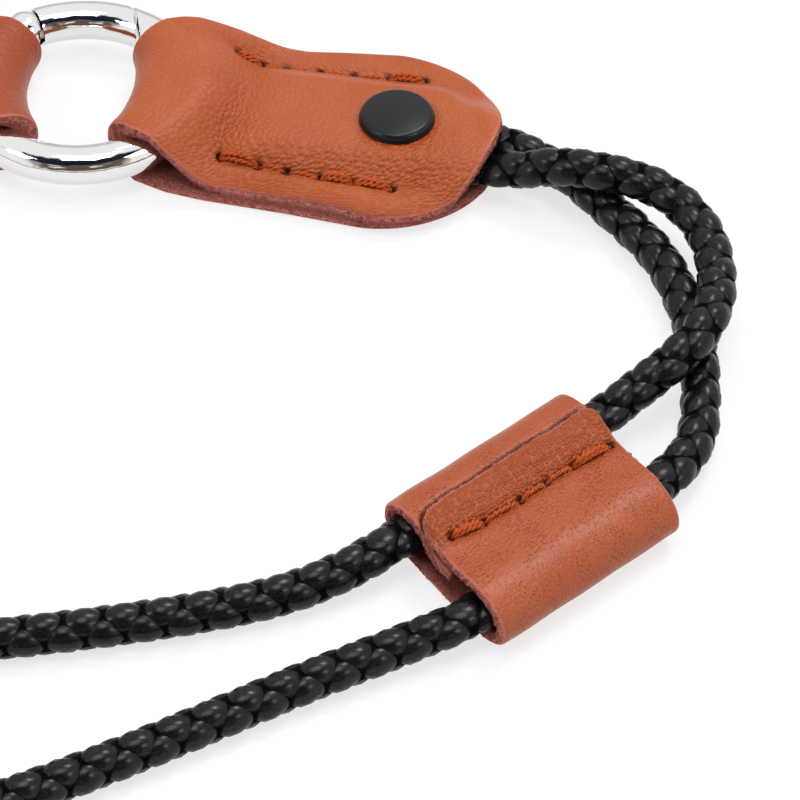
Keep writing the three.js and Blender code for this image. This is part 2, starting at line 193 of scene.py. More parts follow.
@dataclass(frozen=True)
class Swell:
    """A soft uneven relief: its depth and typical length in millimetres, and the seed of its waves."""

    depth: float
    wavelength: float
    seed: int

    def at(self, places: np.ndarray, share: np.ndarray | float = 1.0) -> np.ndarray:
        """Height of the relief at each point, by the share of its depth that shows there."""
        return self.depth * share * ripple(places, self.wavelength, self.seed)


class Noise(NamedTuple):
    """A soft shader noise: its scale per millimetre, its detail and its roughness."""

    scale: float
    detail: float = 3.0
    rough: float = 0.5


class Signal:
    """A shader socket that takes part in arithmetic."""

    def __init__(self, graph: "Graph", socket: bpy.types.NodeSocket) -> None:
        """Wraps a socket of a graph."""
        self.graph = graph
        self.socket = socket

    def _math(self, operation: str, first: "Signal | float", second: "Signal | float") -> "Signal":
        """Adds one Math node."""
        return self.graph.node("ShaderNodeMath", {"operation": operation}, {0: first, 1: second})

    def __add__(self, other: "Signal | float") -> "Signal":
        """Sum."""
        return self._math("ADD", self, other)

    __radd__ = __add__

    def __sub__(self, other: "Signal | float") -> "Signal":
        """Difference."""
        return self._math("SUBTRACT", self, other)

    def __rsub__(self, other: "Signal | float") -> "Signal":
        """Difference from a number."""
        return self._math("SUBTRACT", other, self)

    def __mul__(self, other: "Signal | float") -> "Signal":
        """Product."""
        return self._math("MULTIPLY", self, other)

    __rmul__ = __mul__

    def most(self, other: "Signal | float") -> "Signal":
        """The larger of two values."""
        return self._math("MAXIMUM", self, other)

    def step(self, low: float, high: float) -> "Signal":
        """Smooth step from 0 at low to 1 at high.

        Args:
            low: Where it leaves 0; it may be the larger.
            high: Where it reaches 1.

        Returns:
            The eased share.
        """
        if low > high:
            return 1.0 - self.step(high, low)
        sockets = {"Value": self, "From Min": low, "From Max": high}
        return self.graph.node("ShaderNodeMapRange", {"interpolation_type": "SMOOTHSTEP"}, sockets)


class Graph:
    """The node graph of one material or of the surroundings."""

    def __init__(self, owner: bpy.types.Material | bpy.types.World, shader: str = "Principled BSDF") -> None:
        """Starts from the owner's own shader node.

        Args:
            owner: The material or world that the graph belongs to.
            shader: The name of its shader node.
        """
        self.owner = owner
        owner.use_nodes = True
        self.tree = owner.node_tree
        self.shader = self.tree.nodes[shader]

    @classmethod
    def named(cls, name: str) -> "Graph":
        """The graph of a new material."""
        return cls(bpy.data.materials.new(name))

    def node(
        self,
        kind: str,
        settings: dict[str, object] | None = None,
        sockets: dict[str | int, object] | None = None,
        output: str | int = 0,
    ) -> Signal:
        """Adds one node.

        Args:
            kind: The node's type.
            settings: Its properties, set first.
            sockets: Values or signals for its inputs.
            output: The output that the signal reads.

        Returns:
            The chosen output.
        """
        made = self.tree.nodes.new(kind)
        for key, value in (settings or {}).items():
            setattr(made, key, value)
        for key, value in (sockets or {}).items():
            self.feed(made.inputs[key], value)
        return Signal(self, made.outputs[output])

    def feed(self, socket: bpy.types.NodeSocket, value: object) -> None:
        """Links a signal to an input, or sets a plain value on it.

        Args:
            socket: The input.
            value: A signal, a number or a tuple.
        """
        if isinstance(value, Signal):
            self.tree.links.new(value.socket, socket)
        elif isinstance(value, tuple) and socket.type == "RGBA" and len(value) == 3:
            socket.default_value = (*value, 1.0)
        else:
            socket.default_value = value

    def shade(self, **inputs: object) -> bpy.types.Material | bpy.types.World:
        """Fills the shader's inputs.

        Args:
            inputs: Values or signals by input name, with spaces as underscores.

        Returns:
            The owner.
        """
        for key, value in inputs.items():
            self.feed(self.shader.inputs[key.replace("_", " ")], value)
        return self.owner

    def places(self) -> Signal:
        """Points of the surface in millimetres."""
        spot = self.node("ShaderNodeTexCoord", output="Object")
        return self.node("ShaderNodeVectorMath", {"operation": "MULTIPLY"}, {0: spot, 1: (1.0 / MM,) * 3})

    def mark(self, name: str) -> Signal:
        """A value painted on the mesh's points."""
        return self.node("ShaderNodeAttribute", {"attribute_name": name}, output="Fac")

    def noise(self, places: Signal, noise: Noise) -> Signal:
        """Soft noise from 0 to 1."""
        sockets = {"Vector": places, "Scale": noise.scale, "Detail": noise.detail, "Roughness": noise.rough}
        return self.node("ShaderNodeTexNoise", None, sockets, "Fac")

    def cells(self, places: Signal, scale: float, random: float = 1.0) -> Signal:
        """Distance from the middle of each cell in a flat field of cells."""
        sockets = {"Vector": places, "Scale": scale, "Randomness": random}
        return self.node("ShaderNodeTexVoronoi", {"voronoi_dimensions": "2D"}, sockets, "Distance")

    def facing(self, spot: Signal, heading: Spot) -> Signal:
        """How far a direction points along a heading."""
        sockets = {0: spot, 1: heading}
        return self.node("ShaderNodeVectorMath", {"operation": "DOT_PRODUCT"}, sockets, "Value")

    def blend(self, share: Signal | float, first: object, second: object) -> Signal:
        """Colour from first at 0 to second at 1."""
        sockets = {0: share, 6: first, 7: second}
        return self.node("ShaderNodeMix", {"data_type": "RGBA"}, sockets, 2)

    def bump(self, height: Signal, depth_mm: float) -> Signal:
        """Surface normal for a relief whose height runs from 0 to 1."""
        sockets = {"Height": height, "Distance": depth_mm * MM, "Strength": 1.0}
        return self.node("ShaderNodeBump", None, sockets, "Normal")


class MeshDraft:
    """Gathers points and faces, in millimetres, into one mesh."""

    def __init__(self) -> None:
        """Starts empty."""
        self.points: list[np.ndarray] = []
        self.quads: list[np.ndarray] = []
        self.slots: list[np.ndarray] = []
        self.marks: dict[str, list[np.ndarray]] = {}
        self.count = 0

    def add_points(self, points: np.ndarray, marks: dict[str, np.ndarray] | None = None) -> int:
        """Adds points with their painted values.

        Args:
            points: An array of points.
            marks: Values to paint, one per point.

        Returns:
            The number of the first new point.
        """
        flat = points.reshape(-1, 3)
        first = self.count
        self.points.append(flat)
        self.count += len(flat)
        for name, values in (marks or {}).items():
            self.marks.setdefault(name, []).append(np.asarray(values, float).reshape(-1))
        return first

    def add_quads(self, quads: np.ndarray, slot: int = 0) -> None:
        """Adds four-cornered faces that take one material slot."""
        self.quads.append(quads.reshape(-1, 4))
        self.slots.append(np.full(len(self.quads[-1]), slot, np.int32))

    @staticmethod
    def grid_quads(index: np.ndarray, flip: bool = False) -> np.ndarray:
        """Faces between the rows and columns of a grid of point numbers.

        Args:
            index: The point numbers in rows and columns.
            flip: Whether the faces look the other way.

        Returns:
            The faces.
        """
        quads = np.stack([index[:-1, :-1], index[:-1, 1:], index[1:, 1:], index[1:, :-1]], axis=-1)
        quads = quads.reshape(-1, 4)
        return quads[:, ::-1] if flip else quads

    def tube(self, rings: np.ndarray, marks: dict[str, np.ndarray] | None = None) -> None:
        """Adds a tube through rings of points, closed at both ends.

        Args:
            rings: Array of rings by sides by 3.
            marks: Values to paint, rings by sides.
        """
        count, sides = rings.shape[:2]
        first = self.add_points(rings, marks)
        index = first + np.arange(count * sides).reshape(count, sides)
        faces = [self.grid_quads(np.hstack([index, index[:, :1]]))]
        for row, turn in ((0, -1), (-1, 1)):
            ends = {name: np.mean(values[row], keepdims=True) for name, values in (marks or {}).items()}
            hub = self.add_points(rings[row].mean(axis=0)[None], ends)
            ring = index[row][::turn]
            after = np.roll(ring, -1)
            faces.append(np.stack([np.full(sides, hub), ring, after, after], axis=-1))
        quads = np.vstack(faces)
        middle = rings.reshape(-1, 3).mean(axis=0)
        spots = np.vstack([rings.reshape(-1, 3), rings[0].mean(axis=0), rings[-1].mean(axis=0)]) - middle
        a, b, c, d = (spots[quads[:, corner] - first] for corner in range(4))
        volume = np.sum(a * np.cross(b, c)) + np.sum(a * np.cross(c, d))
        self.add_quads(quads if volume > 0.0 else quads[:, ::-1])

    def build(self, name: str, materials: Sequence[bpy.types.Material]) -> bpy.types.Object:
        """Makes the object.

        Args:
            name: The piece's name.
            materials: Its material slots in order.

        Returns:
            The new object, linked to the scene.
        """
        points = np.vstack(self.points) * MM
        quads = np.vstack(self.quads)
        slots = np.concatenate(self.slots)
        corners = [list(dict.fromkeys(quad)) for quad in quads.tolist()]
        mesh = bpy.data.meshes.new(name)
        mesh.from_pydata(points.tolist(), [], corners)
        mesh.polygons.foreach_set("material_index", slots)
        mesh.polygons.foreach_set("use_smooth", np.ones(len(slots), bool))
        for label, values in self.marks.items():
            layer = mesh.attributes.new(label, "FLOAT", "POINT")
            layer.data.foreach_set("value", np.concatenate(values).astype(np.float32))
        for material in materials:
            mesh.materials.append(material)
        mesh.update()
        piece = bpy.data.objects.new(name, mesh)
        bpy.context.scene.collection.objects.link(piece)
        return piece


def settle(piece: bpy.types.Object, body: Body, slot: Slot | None, *nodes: str) -> None:
    """Puts a finished piece on its body.

    Args:
        piece: The piece.
        body: The body that carries it.
        slot: The record's material slot, if it has one; not used.
        nodes: The solids that it stands for.
    """
    if nodes:
        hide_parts(*nodes)
    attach(piece, body.value)
    LOG.info("%s: %d faces on %s", piece.name, len(piece.data.polygons), body.value)


@dataclass(frozen=True)
class LeatherFinish:
    """Tan leather with a pebbled grain that is strongest where it is drawn together."""

    tone: Tone = (0.338, 0.062, 0.010)
    # Colour of painted shade: in the grain's creases, in the pores and over the whole phone tab; it also
    # gives the slider its deeper tone.
    shaded_tone: Tone = (0.225, 0.030, 0.004)
    pale_tone: Tone = (0.362, 0.075, 0.016)
    raw_tone: Tone = (0.42, 0.115, 0.075)
    # Colour of painted shade in the stitch holes and of painted shadow along the slider's lap edge.
    shadow_tone: Tone = (0.035, 0.010, 0.006)
    broad: Noise = Noise(0.16, 2.0)
    fine: Noise = Noise(5.0, 4.0, 0.6)
    patches: Noise = Noise(0.5, 2.0)
    fray: Noise = Noise(3.0)
    pebble_mm: float = 0.60
    pebble_scatter: float = 0.8
    pebble_dome: Span = (0.66, 0.06)
    crease_from: Span = (0.42, 0.70)
    wander_mm: float = 0.3
    wander_scale: float = 1.1
    pore_mm: float = 0.60
    pore_dip: Span = (0.26, 0.06)
    pore_patches: Span = (0.40, 0.60)
    pale_patches: Span = (0.35, 0.75)
    raw_edge: Span = (0.34, 0.12)
    fray_depth: float = 0.18
    relief_mm: float = 0.18
    calm_strength: float = 0.22
    fine_height: float = 0.25
    pore_height: float = 0.6
    crease_shade: float = 0.34
    pore_shade: float = 0.45
    rough: float = 0.32
    fine_rough: float = 0.14
    raw_rough: float = 0.3
    specular: float = 0.31
    coat: float = 0.17
    coat_rough: float = 0.28

    def make(self) -> bpy.types.Material:
        """Builds the material.

        Returns:
            The new material.
        """
        graph = Graph.named("tan_leather")
        places = graph.places()
        drawn = graph.mark("drawn")
        pored = graph.mark("pored")
        flat = graph.node("ShaderNodeCombineXYZ", None, {"X": graph.mark("along"), "Y": graph.mark("across")})
        wander = {"Vector": places, "Scale": self.wander_scale}
        stray = graph.node("ShaderNodeTexNoise", None, wander, "Color")
        wander = {0: stray, "Scale": self.wander_mm}
        stray = graph.node("ShaderNodeVectorMath", {"operation": "SCALE"}, wander)
        bent = graph.node("ShaderNodeVectorMath", {"operation": "ADD"}, {0: flat, 1: stray})
        cell = graph.cells(bent, 1 / self.pebble_mm, self.pebble_scatter)
        fine = graph.noise(places, self.fine)
        pores = graph.cells(flat, 1 / self.pore_mm).step(*self.pore_dip)
        pores = pores * graph.noise(places, self.patches).step(*self.pore_patches) * (1.0 - drawn) * pored
        strength = self.calm_strength + (1.0 - self.calm_strength) * drawn
        height = cell.step(*self.pebble_dome) * strength + self.fine_height * fine - self.pore_height * pores
        pale = graph.noise(places, self.broad).step(*self.pale_patches)
        tone = graph.blend(pale, self.tone, self.pale_tone)
        # Painted shade over the whole phone tab; on the slider the same mark gives a deeper tone all over.
        tone = graph.blend(graph.mark("shade_and_tone"), tone, self.shaded_tone)
        # Painted shade in the creases between the pebbles.
        tone = graph.blend(cell.step(*self.crease_from) * strength * self.crease_shade, tone, self.shaded_tone)
        # Painted shade in the pores.
        tone = graph.blend(pores * self.pore_shade, tone, self.shaded_tone)
        ragged = graph.mark("edge") + self.fray_depth * (graph.noise(places, self.fray) - 0.5)
        raw = ragged.step(*self.raw_edge)
        tone = graph.blend(raw, tone, self.raw_tone)
        # Painted shade in the stitch holes and painted shadow along the slider's lap edge.
        tone = graph.blend(graph.mark("hole"), tone, self.shadow_tone)
        return graph.shade(
            Base_Color=tone,
            Roughness=self.rough + self.fine_rough * fine + self.raw_rough * raw,
            Specular_IOR_Level=self.specular,
            Coat_Weight=self.coat * pored * (1.0 - drawn),
            Coat_Roughness=self.coat_rough,
            Normal=graph.bump(height, self.relief_mm),
        )


@dataclass(frozen=True)
class SuedeFinish:
    """Raw flesh side and cut edges, dusty red with loose fibres."""

    tone: Tone = (0.66, 0.150, 0.108)
    dark_tone: Tone = (0.25, 0.040, 0.028)
    pale_tone: Tone = (0.86, 0.40, 0.35)
    # Colour of the painted shade on the flesh side and in the crevice between the layers.
    shaded_tone: Tone = (0.12, 0.019, 0.015)
    fibre: Noise = Noise(4.2, 5.0, 0.7)
    clump: Noise = Noise(1.5, 3.0, 0.6)
    speck: Noise = Noise(6.5, 3.0, 0.6)
    pale_fibres: Span = (0.42, 0.66)
    dark_clumps: Span = (0.54, 0.38)
    dark_specks: Span = (0.50, 0.38)
    inner_shade_from: Span = (0.42, 1.0)
    clump_shade: float = 0.65
    speck_shade: float = 0.6
    inner_shade_strength: float = 0.6
    fray_depth: float = 1.1
    clump_height: float = 0.6
    relief_mm: float = 0.6
    rough: float = 0.95
    specular: float = 0.15
    sheen: float = 0.04

    def make(self) -> bpy.types.Material:
        """Builds the material.

        Returns:
            The new material.
        """
        graph = Graph.named("raw_suede")
        places = graph.places()
        fibre = graph.noise(places, self.fibre)
        clump = graph.noise(places, self.clump)
        speck = graph.noise(places, self.speck)
        tone = graph.blend(fibre.step(*self.pale_fibres), self.tone, self.pale_tone)
        tone = graph.blend(clump.step(*self.dark_clumps) * self.clump_shade, tone, self.dark_tone)
        tone = graph.blend(speck.step(*self.dark_specks) * self.speck_shade, tone, self.dark_tone)
        # Painted shade on the flesh side and down the cut edge towards it.
        ragged = graph.mark("inner_shade") + self.fray_depth * (clump - 0.5)
        tone = graph.blend(ragged.step(*self.inner_shade_from) * self.inner_shade_strength, tone, self.shaded_tone)
        return graph.shade(
            Base_Color=tone,
            Roughness=self.rough,
            Specular_IOR_Level=self.specular,
            Sheen_Weight=self.sheen,
            Normal=graph.bump(fibre + self.clump_height * clump, self.relief_mm),
        )


@dataclass(frozen=True)
class ThreadFinish:
    """Rust-coloured sewing thread."""

    tone: Tone = (0.51, 0.090, 0.018)
    dark_tone: Tone = (0.22, 0.030, 0.006)
    fibre: Noise = Noise(6.0, 4.0, 0.65)
    dark_fibres: Span = (0.6, 0.35)
    rough: float = 0.7
    specular: float = 0.2
    relief_mm: float = 0.08

    def make(self) -> bpy.types.Material:
        """Builds the material.

        Returns:
            The new material.
        """
        graph = Graph.named("rust_thread")
        fibre = graph.noise(graph.places(), self.fibre)
        return graph.shade(
            Base_Color=graph.blend(fibre.step(*self.dark_fibres), self.tone, self.dark_tone),
            Roughness=self.rough,
            Specular_IOR_Level=self.specular,
            Normal=graph.bump(fibre, self.relief_mm),
        )


@dataclass(frozen=True)
class LaceFinish:
    """Black lace leather, satin with fine creases across each strand."""

    tone: Tone = (0.0028, 0.0029, 0.0042)
    worn_tone: Tone = (0.0070, 0.0070, 0.0086)
    # Colour of painted shade where a lace dives under its neighbour and along its sides.
    groove_shade_tone: Tone = (0.0008, 0.0008, 0.0010)
    crease: Noise = Noise(1.0, 3.0, 0.55)
    grain: Noise = Noise(2.2)
    along_stretch: float = 2.2
    across_stretch: float = 0.6
    crease_rise: Span = (0.0, 0.10)
    crease_fall: Span = (0.22, 0.1)
    worn_grain: Span = (0.45, 0.75)
    groove_shade_from: Span = (0.30, -0.15)
    rough: float = 0.30
    grain_rough: float = 0.12
    groove_rough: float = 0.5
    specular: float = 0.06
    shine: float = 0.52
    even_shine: float = 0.5
    coat_rough: float = 0.23
    crease_height: float = 0.7
    grain_height: float = 0.16
    relief_mm: float = 0.40

    def make(self) -> bpy.types.Material:
        """Builds the material.

        Returns:
            The new material.
        """
        graph = Graph.named("black_lace_leather")
        along = graph.mark("along") * self.along_stretch
        across = graph.mark("across") * self.across_stretch
        spot = graph.node("ShaderNodeCombineXYZ", None, {"X": along, "Y": across, "Z": 0.0})
        dip = graph.noise(spot, self.crease) - 0.5
        crease = 1.0 - dip.step(*self.crease_rise) * dip.step(*self.crease_fall)
        grain = graph.noise(graph.places(), self.grain)
        # Painted shade where a lace dives under its neighbour and along its sides.
        groove = graph.mark("over").step(*self.groove_shade_from)
        tone = graph.blend(grain.step(*self.worn_grain), self.tone, self.worn_tone)
        shine = self.even_shine + (1.0 - self.even_shine) * grain
        return graph.shade(
            Base_Color=graph.blend(groove, tone, self.groove_shade_tone),
            Roughness=self.rough + self.grain_rough * grain + self.groove_rough * groove,
            Specular_IOR_Level=self.specular,
            Coat_Weight=(1.0 - groove) * shine * self.shine,
            Coat_Roughness=self.coat_rough,
            Normal=graph.bump(crease * self.crease_height + grain * self.grain_height, self.relief_mm),
        )


@dataclass(frozen=True)
class CapFinish:
    """Satin black lacquer on the rivet's cap."""

    tone: Tone = (0.0046, 0.0049, 0.0066)
    haze_gain: float = 1.6
    haze: Noise = Noise(1.4)
    speck: Noise = Noise(9.0, 2.0)
    rough: float = 0.20
    haze_rough: float = 0.08
    specular: float = 0.26
    relief_mm: float = 0.015

    def make(self) -> bpy.types.Material:
        """Builds the material.

        Returns:
            The new material.
        """
        graph = Graph.named("black_lacquer")
        places = graph.places()
        haze = graph.noise(places, self.haze)
        return graph.shade(
            Base_Color=graph.blend(haze, self.tone, tuple(self.haze_gain * value for value in self.tone)),
            Roughness=self.rough + self.haze_rough * haze,
            Specular_IOR_Level=self.specular,
            Normal=graph.bump(graph.noise(places, self.speck), self.relief_mm),
        )


@dataclass(frozen=True)
class NickelFinish:
    """Bright nickel plate, faintly uneven from casting and polishing."""

    tone: Tone = (0.78, 0.77, 0.76)
    scuffed_tone: Tone = (0.72, 0.71, 0.70)
    swell: Noise = Noise(0.35, 2.0)
    scuff: Noise = Noise(4.0)
    scuff_shade: float = 0.3
    rough: float = 0.05
    scuff_rough: float = 0.05
    relief_mm: float = 0.12

    def make(self) -> bpy.types.Material:
        """Builds the material.

        Returns:
            The new material.
        """
        graph = Graph.named("bright_nickel")
        places = graph.places()
        scuff = graph.noise(places, self.scuff)
        return graph.shade(
            Base_Color=graph.blend(scuff * self.scuff_shade, self.tone, self.scuffed_tone),
            Metallic=1.0,
            Roughness=self.rough + self.scuff_rough * scuff,
            Normal=graph.bump(graph.noise(places, self.swell), self.relief_mm),
        )


@dataclass(frozen=True)
class FloorFinish:
    """Plain pale studio table, lit a little from below."""

    tone: Tone = (0.24, 0.24, 0.241)
    glow_tone: Tone = (1.0, 1.0, 1.0)
    glow: float = 0.72
    rough: float = 0.9
    specular: float = 0.1

    def make(self) -> bpy.types.Material:
        """Builds the material.

        Returns:
            The new material.
        """
        return Graph.named("pale_table").shade(
            Base_Color=self.tone,
            Roughness=self.rough,
            Specular_IOR_Level=self.specular,
            Emission_Color=self.glow_tone,
            Emission_Strength=self.glow,
        )


@dataclass
class Thread:
    """Two-ply sewing thread laid along short runs."""

    ply_radius: float = 0.17
    ply_offset: float = 0.13
    lay_length: float = 1.3
    sides: int = 8

    def lay(self, draft: MeshDraft, run: np.ndarray, phase: float = 0.0) -> None:
        """Adds the plies of one run.

        Args:
            draft: The mesh to add to.
            run: Points of the run's centre line.
            phase: Where the twist starts, in radians.
        """
        along = unit(np.gradient(run, axis=0))
        level = unit(np.cross(along, UP))
        upright = np.cross(level, along)
        gone = travel(run)
        around = circle(self.sides)
        for start in (0.0, math.pi):
            turn = 2 * math.pi * gone / self.lay_length + phase + start
            centre = run + self.ply_offset * (
                np.cos(turn)[:, None] * level + np.sin(turn)[:, None] * upright
            )
            rings = centre[:, None] + self.ply_radius * (
                np.cos(around)[None, :, None] * level[:, None]
                + np.sin(around)[None, :, None] * upright[:, None]
            )
            draft.tube(rings)


@dataclass
class Cord:
    """The braided cord: its route and the four laces plaited round it."""

    route: list[Spot] = field(default_factory=lambda: [
        (1.0, -3.1, 2.6), (12.0, -2.75, 2.6), (17.0, -2.6, 2.65), (20.5, -2.7, 3.05), (24.3, -3.4, 4.5),
        (28.4, -4.1, 6.2), (33.2, -4.4, 6.5), (37.8, -4.6, 5.7), (41.5, -6.3, 4.9), (44.3, -9.7, 4.5),
        (46.0, -14.6, 4.9), (46.8, -20.4, 6.0), (46.3, -25.2, 6.5), (44.5, -28.9, 5.9), (41.4, -32.3, 4.4),
        (37.24, -37.32, CHANNEL_Z), (29.02, -47.41, CHANNEL_Z), (20.83, -57.51, CHANNEL_Z),
        (17.5, -60.8, 2.6), (10.9, -65.6, LIE), (-12.8, -75.7, LIE),
        (-45.0, -85.0, LIE), (-78.0, -77.0, LIE), (-94.0, -46.0, LIE), (-98.0, -10.0, LIE),
        (-114.0, 10.0, LIE), (-134.0, -2.0, LIE), (-144.0, -42.0, LIE), (-132.0, -90.0, LIE),
        (-90.0, -116.0, LIE), (-40.0, -114.0, LIE), (-7.7, -95.2, LIE),
        (17.6, -74.6, LIE), (25.4, -68.6, 2.5),
        (30.43, -64.87, CHANNEL_Z), (37.91, -54.22, CHANNEL_Z), (45.38, -43.58, CHANNEL_Z),
        (47.5, -37.6, 2.7), (47.0, -30.0, LIE + 0.1), (44.8, -21.0, LIE), (39.9, -11.5, LIE),
        (33.2, -4.8, LIE), (28.4, -0.8, LIE + 0.05), (24.3, 1.0, 2.4),
        (20.5, 2.2, 2.95), (17.0, 3.3, 2.65), (12.0, 4.4, 2.6), (1.0, 4.1, 2.6),
    ])
    exit_point: int = 3
    pitch: float = 7.6
    steps_per_turn: int = 22
    lace_radius: float = 1.22
    lace_swing: float = 0.36
    lace_half_width: float = 1.64
    lace_half_height: float = 0.58
    lace_crown: float = 2.6
    lace_square: float = 0.56
    lace_hold: float = 1.5
    # Strength of the painted shade along the lace's sides.
    edge_shade: float = 1.55
    edge_power: int = 4
    mark_stretch: float = 1.4
    start_shift: float = 97.0
    hand_shift: float = 41.0
    lace_outer_sides: int = 9
    lace_inner_sides: int = 3
    pad_plump: float = 0.06
    pad_taper: float = 0.05
    pressed_from: float = 23.5
    pressed_to: float = 19.0
    pressed_tall: float = 0.43
    pressed_wide: float = 1.12
    squeezed_to: float = 13.0
    squeezed_from: float = 17.0
    slider_side: float = 12.0
    shown: Spot = (0.141, -0.693, 0.707)
    twist_reach: float = 12.0
    points_per_span: int = 40
    path_stride: int = 4

    def line(self) -> np.ndarray:
        """Centre line as a centripetal curve through the route.

        Returns:
            Points in millimetres.
        """
        spots = np.array(self.route)
        spots = np.vstack([2 * spots[0] - spots[1], spots, 2 * spots[-1] - spots[-2]])
        share = np.linspace(0, 1, self.points_per_span, endpoint=False)[:, None]
        spans = []
        for before, start, end, after in zip(spots, spots[1:], spots[2:], spots[3:]):
            pairs = ((before, start), (start, end), (end, after))
            first, own, last = (math.sqrt(np.linalg.norm(b - a)) for a, b in pairs)
            leave = (start - before) / first - (end - before) / (first + own) + (end - start) / own
            reach = (end - start) / own - (after - start) / (own + last) + (after - end) / last
            leave, reach = leave * own, reach * own
            spans.append(
                start + leave * share
                + (-3 * start + 3 * end - 2 * leave - reach) * share**2
                + (2 * start - 2 * end + leave + reach) * share**3
            )
        spans.append(spots[-2:-1])
        return np.vstack(spans)

    def even_line(self) -> tuple[np.ndarray, np.ndarray]:
        """Centre line at even steps.

        Returns:
            The points, and how far along the cord each one is.
        """
        rough = self.line()
        count = int(travel(rough)[-1] / self.pitch * self.steps_per_turn)
        return evened(rough, count)

    @staticmethod
    def frames(line: np.ndarray) -> tuple[np.ndarray, np.ndarray]:
        """Untwisted frames along a line.

        Args:
            line: Points of the line.

        Returns:
            The two directions across.
        """
        along = unit(np.gradient(line, axis=0))
        side = np.zeros_like(along)
        side[0] = unit(np.cross(UP, along[0]))
        for i in range(1, len(line)):
            side[i] = unit(side[i - 1] - along[i] * (side[i - 1] @ along[i]))
        return side, np.cross(along, side)

    def press(self, points: np.ndarray, line: np.ndarray, even: np.ndarray) -> np.ndarray:
        """Flattens the cord where the tab and the slider squeeze it.

        Args:
            points: Rings of points along the cord.
            line: The centre line.
            even: Distance along the cord of each ring.

        Returns:
            The pressed points.
        """
        inside = np.minimum(even, even[-1] - even)
        pressed = 1.0 - ease(inside, self.pressed_to, self.pressed_from)
        away = line - SLIDER_CENTRE
        squeezed = 1.0 - ease(np.abs(away @ SLIDER_ALONG), self.squeezed_to, self.squeezed_from)
        squeezed = squeezed * (np.abs(away @ SLIDER_ACROSS) < self.slider_side)
        offset = points - line[:, None]
        wide = (offset @ SLIDER_ACROSS) * ((SQUEEZED_WIDE - 1.0) * squeezed)[:, None]
        spread = wide[..., None] * SLIDER_ACROSS
        spread[..., 1] += offset[..., 1] * ((self.pressed_wide - 1.0) * pressed)[:, None]
        tall = (self.pressed_tall - 1.0) * pressed + (SQUEEZED_TALL - 1.0) * squeezed
        spread[..., 2] += offset[..., 2] * tall[:, None]
        return points + spread

    def twist(self, side: np.ndarray, upright: np.ndarray, even: np.ndarray) -> np.ndarray:
        """Slow turn of the cord that keeps two columns of pads on the shown side.

        Args:
            side: First direction across.
            upright: Second direction across.
            even: Distance along the cord of each point.

        Returns:
            The turn in radians.
        """
        shown = np.array(self.shown)
        turn = np.unwrap(np.arctan2(upright @ shown, side @ shown)) - math.pi / 4
        reach = max(1, int(self.twist_reach / (even[1] - even[0])))
        padded = np.pad(turn, reach, mode="edge")
        return np.convolve(padded, np.full(2 * reach + 1, 1.0 / (2 * reach + 1)), mode="valid")

    def plait(self, line: np.ndarray, even: np.ndarray) -> MeshDraft:
        """Four laces, each over one and under one.

        Args:
            line: The centre line.
            even: Distance along the cord of each point.

        Returns:
            The mesh draft.
        """
        side, upright = self.frames(line)
        twist = self.twist(side, upright, even)
        around = np.concatenate([
            np.linspace(0.0, math.pi, self.lace_outer_sides),
            np.linspace(math.pi, 2 * math.pi, self.lace_inner_sides + 2)[1:-1],
        ])
        sides = len(around)
        wide = self.lace_half_width * np.cos(around)
        tall = self.lace_half_height * np.sign(np.sin(around)) * np.abs(np.sin(around)) ** self.lace_square
        draft = MeshDraft()
        for hand in (1, -1):
            for start in (0.0, math.pi):
                angle = hand * 2 * math.pi * even / self.pitch + start
                out = np.cos(angle + twist)[:, None] * side + np.sin(angle + twist)[:, None] * upright
                over = np.tanh(self.lace_hold * hand * np.cos(2 * angle)) / math.tanh(self.lace_hold)
                centre = line + out * (self.lace_radius + self.lace_swing * over)[:, None]
                run = unit(np.gradient(centre, axis=0))
                flat = unit(np.cross(run, out))
                proud = np.cross(flat, run)
                aside = wide * (1.0 + self.pad_taper * over)[:, None]
                height = tall * (1.0 + self.pad_plump * over)[:, None] - aside**2 / (2 * self.lace_crown)
                outward = height[..., None] * proud[:, None]
                rings = centre[:, None] + aside[..., None] * flat[:, None] + outward
                shift = self.start_shift * start + self.hand_shift * hand
                # Painted shade along the lace's sides, taken off its over mark.
                edge = self.edge_shade * np.cos(around) ** self.edge_power
                marks = {
                    "along": np.repeat(even[:, None], sides, axis=1) * self.mark_stretch + shift,
                    "across": np.repeat(wide[None], len(even), axis=0),
                    "over": np.repeat(over[:, None], sides, axis=1) - edge,
                }
                draft.tube(self.press(rings, line, even), marks=marks)
        return draft

    def build(self) -> None:
        line, even = self.even_line()
        piece = self.plait(line, even).build("braided_cord", [LaceFinish().make()])
        settle(piece, Body.LANYARD, Slot.BRAIDED_CORD, "cord")


